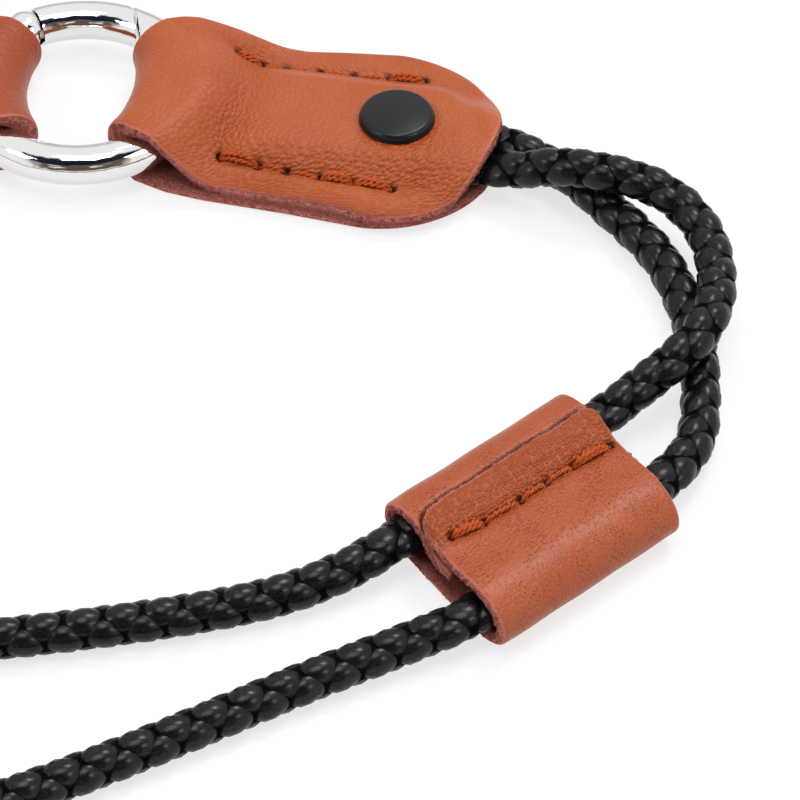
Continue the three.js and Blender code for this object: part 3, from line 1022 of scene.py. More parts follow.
@dataclass
class StitchRow:
    """A row of sewing holes in a sheet's own flat measure, and the thread between them."""

    holes: tuple[Span, ...]
    heaped: tuple[int, ...] = ()
    sunk: tuple[int, ...] = ()
    groove_depth: float = 0.26
    groove_width: float = 0.50
    pit_depth: float = 0.55
    pit_width: float = 0.46
    pillow: float = 0.03
    pillow_at: float = 1.3
    pillow_width: float = 0.7
    hole_mark: Span = (0.36, 0.74)
    dive: float = 0.60
    stand: float = 0.30
    sunk_stand: float = 0.04
    heap: tuple[Span, ...] = ((-0.34, 0.08), (0.32, 0.16), (0.0, 0.42))
    arch_power: float = 0.4
    run_points: int = 18
    stitch_phase: float = 1.3
    heap_phase: float = 4.0

    def spread(self, first: np.ndarray, second: np.ndarray) -> tuple[np.ndarray, np.ndarray]:
        """Distances from the row's line and from its nearest hole.

        Args:
            first: First flat measure of the places.
            second: Second flat measure of the places.

        Returns:
            Distance from the line, and from the holes.
        """
        places = np.stack([first, second], axis=-1)
        spots = np.array(self.holes)
        line = np.full(first.shape, np.inf)
        hole = np.full(first.shape, np.inf)
        for a, b in zip(spots, spots[1:]):
            share = np.clip((places - a) @ (b - a) / ((b - a) @ (b - a)), 0.0, 1.0)
            line = np.minimum(line, np.linalg.norm(places - a - share[..., None] * (b - a), axis=-1))
        for spot in spots:
            hole = np.minimum(hole, np.linalg.norm(places - spot, axis=-1))
        return line, hole

    def relief(self, first: np.ndarray, second: np.ndarray) -> np.ndarray:
        """How far the thread draws the grain side in.

        Args:
            first: First flat measure of the places.
            second: Second flat measure of the places.

        Returns:
            The relief as a height.
        """
        line, hole = self.spread(first, second)
        groove = -self.groove_depth * np.exp(-((line / self.groove_width) ** 2))
        pillow = self.pillow * np.exp(-(((line - self.pillow_at) / self.pillow_width) ** 2))
        pit = -self.pit_depth * np.exp(-((hole / self.pit_width) ** 2))
        return groove + pillow + pit

    def sew(self, draft: MeshDraft, lift: Lift) -> None:
        """Lays the thread from hole to hole.

        Args:
            draft: The mesh to add to.
            lift: Gives points over the sheet for two flat measures and a height above its grooves.
        """
        thread = Thread()
        spots = np.array(self.holes)
        share = np.linspace(0.0, 1.0, self.run_points)
        arch = np.sin(math.pi * share) ** self.arch_power
        for number, (a, b) in enumerate(zip(spots, spots[1:])):
            aside = np.array([a[1] - b[1], b[0] - a[0]]) / np.linalg.norm(b - a)
            stand = self.sunk_stand if number in self.sunk else self.stand
            rise = -self.dive + (self.dive + stand) * arch
            for shift, extra in self.heap if number in self.heaped else ((0.0, 0.0),):
                way = a + share[:, None] * (b - a) + shift * arch[:, None] * aside
                phase = self.stitch_phase * number + self.heap_phase * shift
                thread.lay(draft, lift(way[:, 0], way[:, 1], rise + extra), phase)


@dataclass
class LeatherSheet:
    """One strip of leather: middle points in rows and columns, with its grain side's relief and marks."""

    middle: np.ndarray
    edge: np.ndarray
    drawn: np.ndarray
    # Painted shade in the stitch holes and painted shadow along the lap edge.
    hole: np.ndarray
    relief: np.ndarray
    thick: np.ndarray
    padding: np.ndarray | float = 0.0
    pored: float = 0.06
    rounding: float = 1.1
    edge_share: float = 0.64
    grain_scale: float = 1.0
    # Painted shade over the whole strip on the phone tab; a deeper tone all over on the slider.
    shade_and_tone: float = 0.0
    # Painted shade on the flesh side.
    flesh_shade: float = 0.8
    rim_steps: int = 5
    rim_bulge: float = 0.08
    rim_fuzz: float = 0.15
    rim_wave: float = 0.7
    rim_reach: int = 6

    def marks(self) -> dict[str, np.ndarray]:
        """Values painted on the grain side, with its flat measures along and across the strip.

        Returns:
            The values by name.
        """
        rows, columns = self.edge.shape
        over = np.linalg.norm(np.diff(self.middle, axis=1), axis=-1)
        along = travel(self.middle[:, columns // 2])[:, None] * np.ones(columns)
        across = np.hstack([np.zeros((rows, 1)), np.cumsum(over, axis=1)])
        across = across - across[:, columns // 2, None]
        return {
            "edge": self.edge,
            "drawn": self.drawn,
            "hole": self.hole,
            "along": along * self.grain_scale,
            "across": across * self.grain_scale,
            "pored": np.full(self.edge.shape, self.pored),
            "inner_shade": np.zeros(self.edge.shape),
            "shade_and_tone": np.full(self.edge.shape, self.shade_and_tone),
        }

    def shell(self, draft: MeshDraft) -> None:
        """Adds the grain side, the flesh side and the cut edge between them.

        Args:
            draft: The empty mesh to add to.
        """
        normal = unit(np.cross(np.gradient(self.middle, axis=0), np.gradient(self.middle, axis=1)))
        share = np.clip(self.edge / self.rounding, 0.0, 1.0)
        round_off = self.edge_share + (1.0 - self.edge_share) * np.sqrt(1.0 - (1.0 - share) ** 2)
        half = self.thick / 2 * round_off
        grain = self.middle - normal * (half + self.relief)[..., None]
        flesh = self.middle + normal * (half + self.padding)[..., None]
        marks = self.marks()
        inner = {name: 0.0 * values for name, values in marks.items()}
        # Painted shade on the flesh side.
        inner["inner_shade"] = np.full(self.edge.shape, self.flesh_shade)
        numbers = np.arange(self.edge.size).reshape(self.edge.shape)
        face = draft.add_points(grain, marks) + numbers
        back = draft.add_points(flesh, inner) + numbers
        draft.add_quads(MeshDraft.grid_quads(face), GRAIN_SLOT)
        draft.add_quads(MeshDraft.grid_quads(back, flip=True), FLESH_SLOT)
        self.rim(draft, grain, flesh, face, back)

    def rim(
        self,
        draft: MeshDraft,
        grain: np.ndarray,
        flesh: np.ndarray,
        face: np.ndarray,
        back: np.ndarray,
    ) -> None:
        """Adds the rough cut edge between the two sides.

        Args:
            draft: The mesh that has the two sides.
            grain: Points of the grain side.
            flesh: Points of the flesh side.
            face: Point numbers of the grain side.
            back: Point numbers of the flesh side.
        """
        rows, columns = self.edge.shape
        row, column = self.border(rows, columns)
        inside = self.middle[
            np.clip(row, self.rim_reach, rows - 1 - self.rim_reach),
            np.clip(column, self.rim_reach, columns - 1 - self.rim_reach),
        ]
        away = unit(self.middle[row, column] - inside)
        above = face[row, column]
        for step in range(1, self.rim_steps + 1):
            part = step / self.rim_steps
            if step == self.rim_steps:
                below = back[row, column]
            else:
                spots = grain[row, column] * (1.0 - part) + flesh[row, column] * part
                fuzz = self.rim_fuzz * ripple(spots, self.rim_wave, step)
                swell = self.rim_bulge * math.sin(math.pi * part) + fuzz
                spots = spots + away * swell[:, None]
                blank = {name: np.zeros(len(row)) for name in draft.marks}
                # Painted shade down the cut edge, growing towards the flesh side.
                blank["inner_shade"] = np.full(len(row), part)
                below = draft.add_points(spots, blank) + np.arange(len(row))
            loop = np.stack([np.roll(above, -1), above, below, np.roll(below, -1)], axis=-1)
            draft.add_quads(loop, FLESH_SLOT)
            above = below

    @staticmethod
    def border(rows: int, columns: int) -> tuple[np.ndarray, np.ndarray]:
        """Row and column numbers once round the outline.

        Args:
            rows: How many rows the strip has.
            columns: How many columns.

        Returns:
            The row numbers and the column numbers.
        """
        across, down = np.arange(columns - 1), np.arange(rows - 1)
        row = np.concatenate([0 * across, down, 0 * across + rows - 1, rows - 1 - down])
        column = np.concatenate([across, 0 * down + columns - 1, columns - 1 - across, 0 * down])
        return row, column


@dataclass(frozen=True)
class Hides:
    """The materials of a sewn leather piece."""

    leather: bpy.types.Material
    suede: bpy.types.Material
    thread: bpy.types.Material

    @classmethod
    def make(cls) -> "Hides":
        """Builds the three materials."""
        return cls(LeatherFinish().make(), SuedeFinish().make(), ThreadFinish().make())

    def sew(
        self,
        name: str,
        thread_name: str,
        node: str,
        sheet: LeatherSheet,
        rows: Sequence[StitchRow],
        over: Lift,
    ) -> None:
        """Makes one leather piece and its sewing.

        Args:
            name: The leather's name.
            thread_name: The sewing's name.
            node: The solid that the leather stands for.
            sheet: The leather as one sheet.
            rows: Its rows of stitches.
            over: Gives points over the sheet for two flat measures and a height above its grooves.
        """
        draft = MeshDraft()
        sheet.shell(draft)
        settle(draft.build(name, [self.leather, self.suede]), Body.LANYARD, Slot.LEATHER, node)
        sewing = MeshDraft()
        for row in rows:
            row.sew(sewing, over)
        settle(sewing.build(thread_name, [self.thread]), Body.LANYARD, None)


def eased_table(rows: Sequence[Sequence[float]], x: np.ndarray, column: int) -> np.ndarray:
    """Eased value of a table of rows sorted by their first number.

    Args:
        rows: The table.
        x: Where to read it.
        column: The number to read.

    Returns:
        The eased values.
    """
    table = np.array(rows)
    value = np.full(np.shape(x), table[0, column])
    for low, high in zip(table, table[1:]):
        value = value + (high[column] - low[column]) * ease(x, low[0], high[0])
    return value


class Crest(NamedTuple):
    """A section of the swelling over the cord's ends; flat and edge are measured from its middle."""

    x: float
    height: float
    middle: float
    flat: float
    edge: float


class Patch(NamedTuple):
    """A patch of the upper layer where the grain is drawn together, fading out from its middle."""

    x: float
    y: float
    reach_x: float
    reach_y: float
    strength: float


class Seat(NamedTuple):
    """The dent that the rivet's cap presses round itself."""

    x: float
    y: float
    radius: float
    width: float = 0.5


@dataclass
class FoldedTab:
    """A leather tab folded over the ring, in its own frame: x from the ring's centre along the tab."""

    name: str
    node: str
    outline: tuple[Span, ...]
    crest: tuple[Crest, ...]
    fold_x: float
    fold_edge: float
    end_x: float
    end_depth: float
    turn: float
    stitches: tuple[StitchRow, ...]
    pebbled: tuple[Patch, ...]
    seat: Seat | None = None
    columns: int = 120
    top_rows: int = 190
    fold_rows: int = 34
    base_rows: int = 56
    end_crowding: float = 1.25
    hump: float = 2 * FOLD_RADIUS + LEATHER / 2 - FLAT_Z
    hump_start: float = 1.0
    hump_run: float = 8.0
    near_run: float = 8.0
    hump_sides: Span = (-6.0, 4.0)
    far_edge_run: float = 0.0
    far_edge: Span = (8.0, 10.8)
    near_spread: float = 0.0
    spread_run: Span = (28.0, 38.0)
    blend_power: float = 3.0
    seat_depth: float = 0.10
    swell: Swell = Swell(0.05, 7.0, 3)
    crinkle: Swell = Swell(0.03, 1.3, 5)
    under_swell: Swell = Swell(0.025, 6.0, 8)
    calm_grain: float = 0.06
    fold_padding: float = 1.1
    padded_edge: Span = (0.5, 3.5)
    sewn_press: float = 0.62
    sewn_reach: float = 2.2
    sewn_from: Span = (13.0, 17.0)
    sewn_clear: float = 1.4
    # Painted shade over the whole tab.
    shade_and_tone: float = 0.0

    def half(self, x: np.ndarray) -> np.ndarray:
        """Half-width at a distance from the ring's centre."""
        table = np.array(self.outline)
        return np.interp(x, table[:, 0], table[:, 1])

    def rise(self, x: np.ndarray, y: np.ndarray) -> np.ndarray:
        """Rise of the upper layer over the wire and over the cord's ends.

        Args:
            x: Distance along the tab.
            y: Distance across it.

        Returns:
            The rise in millimetres.
        """
        past = np.hypot(x, y) - RING_RADIUS
        run = self.near_run + (self.hump_run - self.near_run) * ease(y, *self.hump_sides)
        run = run + self.far_edge_run * ease(y, *self.far_edge)
        over_ring = self.hump * (1.0 - ease(past - self.hump_start, 0.0, run))
        columns = range(1, len(Crest._fields))
        height, middle, flat, edge = (eased_table(self.crest, x, column) for column in columns)
        over_cord = height * (1.0 - ease(np.abs(y - middle) - flat, 0.0, edge - flat))
        return (over_ring**self.blend_power + over_cord**self.blend_power) ** (1.0 / self.blend_power)

    def grain_relief(self, x: np.ndarray, y: np.ndarray) -> np.ndarray:
        """Dents and swells of the upper layer's grain side.

        Args:
            x: Distance along the tab.
            y: Distance across it.

        Returns:
            The relief as a height.
        """
        flat = np.stack([x, y, 0.0 * x], axis=-1)
        relief = self.swell.at(flat) + self.crinkle.at(flat, self.pebble(x, y))
        for row in self.stitches:
            relief = relief + row.relief(x, y)
        if self.seat is not None:
            away = np.hypot(x - self.seat.x, y - self.seat.y)
            dent = np.exp(-(((away - self.seat.radius) / self.seat.width) ** 2))
            relief = relief - self.seat_depth * dent
        return relief

    def pebble(self, x: np.ndarray, y: np.ndarray) -> np.ndarray:
        """How strongly the grain is drawn together.

        Args:
            x: Distance along the tab.
            y: Distance across it.

        Returns:
            The strength from 0 to 1.
        """
        value = np.full(np.shape(x), self.calm_grain)
        for patch in self.pebbled:
            away = ((x - patch.x) / patch.reach_x) ** 2 + ((y - patch.y) / patch.reach_y) ** 2
            value = np.maximum(value, patch.strength * np.exp(-away))
        return value

    def place(self, points: np.ndarray) -> np.ndarray:
        """Moves points from the tab's frame to the part's.

        Args:
            points: Points in the tab's frame.

        Returns:
            The moved points.
        """
        turn = math.radians(self.turn)
        moved = points.copy()
        moved[..., 0] = points[..., 0] * math.cos(turn) - points[..., 1] * math.sin(turn) + RING_CENTRE[0]
        moved[..., 1] = points[..., 0] * math.sin(turn) + points[..., 1] * math.cos(turn) + RING_CENTRE[1]
        return moved

    def sheet(self) -> LeatherSheet:
        """The folded strip as one sheet.

        Returns:
            The strip, from the upper layer's end over the fold to the lower layer's end.
        """
        top = slice(0, self.top_rows)
        bend = slice(self.top_rows, self.top_rows + self.fold_rows + 1)
        share = np.sin(math.pi * (np.arange(self.columns + 1) / self.columns - 0.5))
        round_share = np.sqrt(np.maximum(0.0, 1.0 - share**2))
        end = self.end_x + self.end_depth * round_share
        fold = self.fold_x - self.fold_edge * share**2 + LEATHER / 2 + FOLD_RADIUS
        down = ((np.arange(self.top_rows) / self.top_rows) ** self.end_crowding)[:, None]
        angle = math.pi * (0.5 + np.arange(self.fold_rows + 1) / self.fold_rows)[:, None]
        back = (1.0 - (1.0 - np.arange(1, self.base_rows + 1) / self.base_rows) ** self.end_crowding)[:, None]
        x = np.vstack([
            end * (1.0 - down) + fold * down,
            fold + FOLD_RADIUS * np.cos(angle),
            fold * (1.0 - back) + end * back,
        ])
        y = share * self.half(x)
        y[top] += np.minimum(share, 0.0) * self.near_spread * ease(x[top], *self.spread_run)
        z = np.full(x.shape, LEATHER / 2)
        z[top] = FLAT_Z + self.rise(x[top], y[top])
        z[bend] = RING_CENTRE[2] + FOLD_RADIUS * np.sin(angle)
        lean = round_share / self.end_depth
        lean = lean / np.hypot(lean, share / self.half(np.array(self.end_x)))
        to_end = np.maximum(0.0, end - x) * lean
        to_end[bend] = np.inf
        edge = np.minimum(self.half(x) * (1.0 - np.abs(share)), to_end)
        sewn = (1.0 - ease(edge[top], 0.0, self.sewn_reach)) * ease(x[top], *self.sewn_from) * (share < 0.0)
        z[top] -= self.sewn_press * sewn * (1.0 - ease(self.rise(x[top], y[top]), 0.0, self.sewn_clear))
        drawn = np.full(x.shape, self.calm_grain)
        drawn[top] = self.pebble(x[top], y[top])
        relief = self.under_swell.at(np.stack([x, y, z], axis=-1))
        relief[z <= LEATHER / 2 + TOUCH] = 0.0
        relief[top] = self.grain_relief(x[top], y[top])
        hole = np.zeros(x.shape)
        for row in self.stitches:
            away = row.spread(x[top], y[top])[1]
            # Painted shade in the stitch holes.
            hole[top] = np.maximum(hole[top], 1.0 - ease(away, *row.hole_mark))
        padding = np.zeros(x.shape)
        outer = np.maximum(0.0, -np.cos(angle))
        padding[bend] = self.fold_padding * outer * (1.0 - ease(edge[bend], *self.padded_edge))
        middle = self.place(np.stack([x, y, z], axis=-1))
        thick = np.full(x.shape, LEATHER)
        return LeatherSheet(middle, edge, drawn, hole, relief, thick, padding, shade_and_tone=self.shade_and_tone)

    def over(self, x: np.ndarray, y: np.ndarray, height: np.ndarray) -> np.ndarray:
        """Points at a height over the upper layer's grain side."""
        z = FLAT_Z + LEATHER / 2 + self.rise(x, y) + self.grain_relief(x, y) + height
        return self.place(np.stack([x, y, z], axis=-1))

    def build(self, hides: Hides) -> None:
        """Makes the leather and its sewing."""
        hides.sew(self.name, f"{self.name}_thread", self.node, self.sheet(), self.stitches, self.over)


def cord_tab() -> FoldedTab:
    """The tab that holds the cord's ends.

    Returns:
        The tab with its sizes.
    """
    far = StitchRow(
        holes=((15.3, 7.5), (17.9, 7.75), (20.6, 7.85), (24.2, 7.9), (27.9, 8.0), (31.6, 8.3), (35.4, 8.35)),
        heaped=(0, 5),
        sunk=(1, 2, 3, 4),
    )
    near = StitchRow(
        holes=((16.2, -7.25), (20.5, -7.7), (23.6, -8.0), (27.2, -8.25), (30.7, -8.5), (34.8, -8.85)),
        heaped=(0, 3, 4),
        sunk=(1, 2),
    )
    return FoldedTab(
        name="cord_tab_leather",
        node="cord_tab",
        outline=((4.6, 6.7), (7.5, 8.9), (11.0, 10.1), (15.0, 10.7), (24.0, 11.3), (32.0, 12.1)),
        crest=(
            Crest(11.0, 0.0, -0.2, 4.6, 8.3),
            Crest(20.5, 1.9, -0.35, 4.6, 8.3),
            Crest(37.0, 1.9, -0.35, 4.6, 8.3),
            Crest(42.0, 2.25, -1.4, 2.9, 8.8),
            Crest(44.7, 2.6, -2.0, 1.0, 8.8),
        ),
        near_run=6.2,
        far_edge_run=4.0,
        near_spread=1.1,
        fold_x=5.5,
        fold_edge=1.6,
        end_x=32.0,
        end_depth=12.7,
        turn=1.9,
        stitches=(far, near),
        seat=Seat(33.9, -0.35, 4.1),
        pebbled=(
            Patch(25.0, -7.6, 11.0, 2.6, 0.85),
            Patch(37.0, -6.5, 5.5, 4.0, 0.9),
            Patch(24.0, 8.0, 11.0, 1.6, 0.55),
            Patch(17.0, -4.5, 3.5, 4.5, 0.7),
            Patch(16.5, 3.0, 2.6, 5.0, 0.4),
            Patch(34.0, -6.0, 6.0, 2.2, 0.8),
        ),
    )


def phone_tab() -> FoldedTab:
    """The tab on the ring's other side.

    Returns:
        The tab with its sizes.
    """
    first_hole, pace, aside, count = 15.5, 3.4, 6.4, 6
    far_holes, near_holes = (
        tuple((first_hole + pace * step, side) for step in range(count)) for side in (aside, -aside)
    )
    return FoldedTab(
        name="phone_tab_leather",
        node="phone_tab",
        outline=((4.6, 6.8), (7.5, 8.0), (11.0, 8.8), (15.0, 9.2), (30.0, 9.6)),
        crest=(Crest(12.0, 0.0, 0.0, 4.0, 7.0), Crest(40.0, 0.0, 0.0, 4.0, 7.0)),
        fold_x=5.7,
        fold_edge=1.7,
        end_x=30.0,
        end_depth=8.0,
        turn=193.0,
        stitches=(
            StitchRow(holes=far_holes, heaped=(0, 4), sunk=(1, 3)),
            StitchRow(holes=near_holes, heaped=(0, 4), sunk=(2,)),
        ),
        pebbled=(
            Patch(22.0, -6.4, 9.0, 2.2, 0.8),
            Patch(22.0, 6.4, 9.0, 2.2, 0.7),
            Patch(17.0, 0.0, 3.0, 6.0, 0.5),
        ),
        columns=96,
        top_rows=130,
        base_rows=40,
        # Painted shade over the whole tab.
        shade_and_tone=0.6,
    )


@dataclass
class Slider:
    """The leather slider: a strip wrapped round both strands, lapped and sewn along the valley."""

    length: float = 22.8
    skew: float = 0.115
    far_channel: float = -5.9
    near_channel: float = 5.2
    lap_gap: float = 0.1
    inner_z: float = 3.5
    inner_end: float = 1.0
    inner_flat_end: float = -1.0
    inner_rise: float = -2.3
    far_arc: Span = (30.0, 270.0)
    near_arc: Span = (-90.0, 100.0)
    lap_arc: Span = (60.0, 80.0)
    valley_near: Span = (2.6, 5.5)
    valley_far: Span = (-1.0, 4.5)
    arc_points: int = 60
    upper_from: float = 0.6
    lower_to: float = 0.4
    under_from: float = 0.2
    lap_edge: float = 0.75
    lap_line_depth: float = 0.40
    lap_line_width: float = 0.34
    lap_line_shift: float = 0.25
    # Reach and strength of the painted shadow along the lap's edge.
    lap_line_mark: Span = (0.15, 0.50)
    lap_line_shade: float = 0.9
    lap_skive: float = 3.0
    lap_corners: Span = (2.4, 1.2)
    lap_wave: Swell = Swell(0.12, 5.0, 9)
    lap_share: Span = (0.88, 1.0)
    lap_reach: Span = (1.2, 0.6)
    lap_grain: float = 0.85
    calm_grain: float = 0.08
    seam_grain: float = 0.9
    seam_grain_reach: float = 1.6
    swell: Swell = Swell(0.05, 6.0, 4)
    crease: Swell = Swell(0.05, 1.9, 12)
    crease_stretch: Spot = (0.5, 1.5, 1.0)
    crinkle: Swell = Swell(0.03, 1.0, 6)
    rows: int = 250
    columns: int = 112
    seam_u: float = -0.9
    seam_holes: tuple[Span, ...] = (
        (-9.4, 0.6), (-5.7, 0.05), (-1.0, -0.05), (2.4, 0.05), (5.9, 0.0), (10.5, -0.3),
    )
    seam_heaped: tuple[int, ...] = (0, 4)

    def oval(self, middle: float, wide: float, arc: Span, grow: float = 0.0) -> np.ndarray:
        """Points along the oval round one channel.

        Args:
            middle: Where the channel is, across.
            wide: Half the oval's width.
            arc: The angles between which it runs, in degrees.
            grow: How far it stands off.

        Returns:
            Points across and up.
        """
        share = np.linspace(0.0, 1.0, self.arc_points)
        angle = np.radians(arc[0] + (arc[1] - arc[0]) * share)
        across = middle + (wide + grow) * np.cos(angle)
        return np.stack([across, CHANNEL_Z + (WRAP_TALL + grow) * np.sin(angle)], axis=-1)

    def section(self) -> tuple[np.ndarray, np.ndarray]:
        """Middle line of the strip's section.

        Returns:
            Points across and up, at even steps, and the distance along of each.
        """
        share = np.linspace(0.0, 1.0, self.arc_points)[:, None]
        far = self.oval(self.far_channel, FAR_WIDE, self.far_arc)
        near = self.oval(self.near_channel, NEAR_WIDE, self.near_arc)
        lap = self.oval(self.far_channel, FAR_WIDE, self.lap_arc, SLIDER_LEATHER + self.lap_gap)
        flat = np.array([self.inner_flat_end, self.inner_z])
        turn = np.array([self.inner_rise, self.inner_z])
        start = np.array([[self.inner_end, self.inner_z]])
        bend = (1 - share) ** 2 * flat + 2 * share * (1 - share) * turn + share**2 * far[0]
        first, second = np.array(self.valley_near), np.array(self.valley_far)
        valley = (
            (1 - share) ** 3 * near[-1] + 3 * share * (1 - share) ** 2 * first
            + 3 * share**2 * (1 - share) * second + share**3 * lap[0]
        )
        line = np.vstack([start, bend, far[1:], near, valley[1:-1], lap])
        return evened(line, self.rows)

    def place(self, u: np.ndarray, w: np.ndarray, z: np.ndarray) -> np.ndarray:
        """Points of the part from measures across, along and up."""
        askew = (w - self.skew * u)[..., None]
        return SLIDER_CENTRE + u[..., None] * SLIDER_ACROSS + askew * SLIDER_ALONG + z[..., None] * UP

    def distance_at(self, u: float, upper: bool) -> float:
        """How far along the section a place across is.

        Args:
            u: The place across.
            upper: Whether it is on the panel that laps over, or else on the far channel's top.

        Returns:
            The distance along.
        """
        line, even = self.section()
        share = even / even[-1]
        among = share > self.upper_from if upper else (share < self.lower_to) & (line[:, 1] >= self.inner_z)
        return float(even[among][np.argmin(np.abs(line[among][:, 0] - u))])

    def seam(self) -> StitchRow:
        """The row of stitches, by distance along the section and along the slider.

        Returns:
            The row.
        """
        spot = self.distance_at(self.seam_u, upper=True)
        holes = tuple((spot + shift, w) for w, shift in self.seam_holes)
        return StitchRow(
            holes=holes, heaped=self.seam_heaped, groove_depth=0.34, groove_width=0.6, hole_mark=(0.32, 0.66),
        )

    def surface(self, s: np.ndarray, w: np.ndarray) -> tuple[np.ndarray, np.ndarray, np.ndarray]:
        """Relief, drawn grain and painted shade and shadow of the grain side.

        Args:
            s: Distance along the section.
            w: Distance along the slider.

        Returns:
            The relief, the drawn share, and the painted shade in the holes with the painted shadow along the
            lap's line.
        """
        row = self.seam()
        spot = self.distance_at(self.seam_u, upper=True)
        flat = np.stack([s, w, 0.0 * s], axis=-1)
        lap = ease(s, spot - self.lap_reach[0], spot + self.lap_reach[1])
        gather, hole = row.spread(s, w)
        drawn = np.maximum(self.calm_grain, self.lap_grain * lap)
        drawn = np.maximum(drawn, self.seam_grain * np.exp(-((gather / self.seam_grain_reach) ** 2)))
        relief = row.relief(s, w) + self.swell.at(flat)
        relief = relief + self.crease.at(flat * np.array(self.crease_stretch)) * lap
        relief = relief + self.crinkle.at(flat, drawn)
        beside = np.abs(s - self.lap_line(w))
        relief = relief - self.lap_line_depth * np.exp(-((beside / self.lap_line_width) ** 2))
        # Painted shadow along the lap's edge, over its pressed line.
        pressed = self.lap_line_shade * (1.0 - ease(beside, *self.lap_line_mark))
        return relief, drawn, np.maximum(1.0 - ease(hole, *row.hole_mark), pressed)

    def lap_short(self, w: np.ndarray) -> np.ndarray:
        """How far the lap's wavy edge and rounded corners stop short of its full length.

        Args:
            w: Distance along the slider.

        Returns:
            The lengths left out.
        """
        short = self.lap_wave.at(np.stack([w, 0 * w, 0 * w], axis=-1))
        for corner, gap in zip(self.lap_corners, (w + self.length / 2, self.length / 2 - w)):
            reach = np.clip(corner - gap, 0.0, corner)
            short = short + corner - np.sqrt(corner**2 - reach**2)
        return short

    def lap_line(self, w: np.ndarray) -> np.ndarray:
        """Where on the far channel's top the lap's edge presses its line.

        Args:
            w: Distance along the slider.

        Returns:
            Distances along the section.
        """
        lap_u = self.far_channel + FAR_WIDE * math.cos(math.radians(self.lap_arc[1]))
        return self.distance_at(lap_u, upper=False) + self.lap_line_shift - self.lap_short(w)

    def sheet(self) -> LeatherSheet:
        """The wrapped strip as one sheet.

        Returns:
            The strip, from its inner end round both channels to the lap.
        """
        line, even = self.section()
        w = self.length * np.linspace(-0.5, 0.5, self.columns)
        total = even[-1]
        s = even[:, None] - self.lap_short(w) * ease(even / total, *self.lap_share)[:, None]
        u = np.interp(s, even, line[:, 0])
        z = np.interp(s, even, line[:, 1])
        wide = np.broadcast_to(w, s.shape)
        to_lap = (total - even)[:, None] * np.ones_like(s)
        skive = np.clip(to_lap / self.lap_skive, 0.0, 1.0)
        thick = self.lap_edge + (SLIDER_LEATHER - self.lap_edge) * skive
        run = unit(np.stack([np.gradient(u, axis=0), np.gradient(z, axis=0)], axis=-1))
        sink = (SLIDER_LEATHER - thick) / 2
        u = u - run[..., 1] * sink
        z = z + run[..., 0] * sink
        edge = np.minimum(np.minimum(wide + self.length / 2, self.length / 2 - wide), to_lap)
        edge = np.minimum(edge, even[:, None])
        relief, drawn, hole = self.surface(s, wide)
        relief = np.where((z < SLIDER_LEATHER) & (s > self.under_from * total), 0.0, relief)
        return LeatherSheet(
            self.place(u, wide, z), edge, drawn, hole, relief, thick,
            # A deeper tone all over the slider.
            pored=1.0, rounding=0.4, grain_scale=1.45, shade_and_tone=0.22,
        )

    def over(self, s: np.ndarray, w: np.ndarray, height: np.ndarray) -> np.ndarray:
        """Points at a height over the grain side.

        Args:
            s: Distance along the section.
            w: Distance along the slider.
            height: Height over the grain side.

        Returns:
            The points.
        """
        line, even = self.section()
        u, z = np.interp(s, even, line[:, 0]), np.interp(s, even, line[:, 1])
        slope = np.interp(s, even, np.gradient(line[:, 0])), np.interp(s, even, np.gradient(line[:, 1]))
        run = unit(np.stack(slope, axis=-1))
        proud = SLIDER_LEATHER / 2 + self.surface(s, w)[0] + height
        return self.place(u + run[..., 1] * proud, w, z - run[..., 0] * proud)

    def build(self, hides: Hides) -> None:
        """Makes the leather and its sewing."""
        hides.sew("slider_leather", "slider_thread", "slider", self.sheet(), [self.seam()], self.over)


@dataclass
class CapRivet:
    """The black cap rivet, turned about its post."""

    spot: Span = (9.9, 0.78)
    post_radius: float = 1.1
    back_radius: float = 3.4
    back_base: float = 0.05
    back_top: float = 0.6
    back_round: float = 0.2
    back_rim: float = 0.15
    cap_radius: float = 4.0
    cap_base: float = 5.2
    cap_top: float = 6.55
    cap_rim: tuple[Span, ...] = ((0.3, 0.0), (0.04, 0.06), (0.0, 0.2), (0.02, 0.34), (0.16, 0.42))
    shoulder: float = 0.70
    shoulder_trim: float = 0.064
    shoulder_points: int = 12
    dome: float = 0.26
    dome_points: int = 16
    sides: int = 96

    def profile(self) -> np.ndarray:
        """Half-section from the foot to the crown.

        Returns:
            Radii and heights.
        """
        inner = self.cap_radius - self.shoulder
        knee = self.cap_top - self.dome - self.shoulder
        back = [
            (0.0, self.back_base),
            (self.back_radius - self.back_round, self.back_base),
            (self.back_radius, self.back_round),
            (self.back_radius, self.back_top - self.back_rim),
            (self.back_radius - self.back_rim, self.back_top),
            (self.post_radius, self.back_top),
            (self.post_radius, self.cap_base),
        ]
        rim = [(self.cap_radius - inset, self.cap_base + height) for inset, height in self.cap_rim]
        shoulder = [
            (
                inner + (self.shoulder - self.shoulder_trim) * math.cos(turn),
                knee + self.shoulder * math.sin(turn),
            )
            for turn in np.linspace(0.0, math.pi / 2, self.shoulder_points)
        ]
        crown = [
            (inner * share, self.cap_top - self.dome * share**2)
            for share in np.linspace(1.0, 0.0, self.dome_points)[1:]
        ]
        return np.array(back + rim + shoulder + crown)

    def build(self) -> None:
        """Makes the rivet."""
        draft = MeshDraft()
        profile = self.profile()
        angle = circle(self.sides)
        rings = np.stack([
            self.spot[0] + profile[:, :1] * np.cos(angle),
            self.spot[1] + profile[:, :1] * np.sin(angle),
            profile[:, 1:] + 0.0 * angle,
        ], axis=-1)
        draft.tube(rings[1:-1])
        piece = draft.build("rivet_cap", [CapFinish().make()])
        settle(piece, Body.LANYARD, Slot.BLACK_CAP, "cap_rivet")


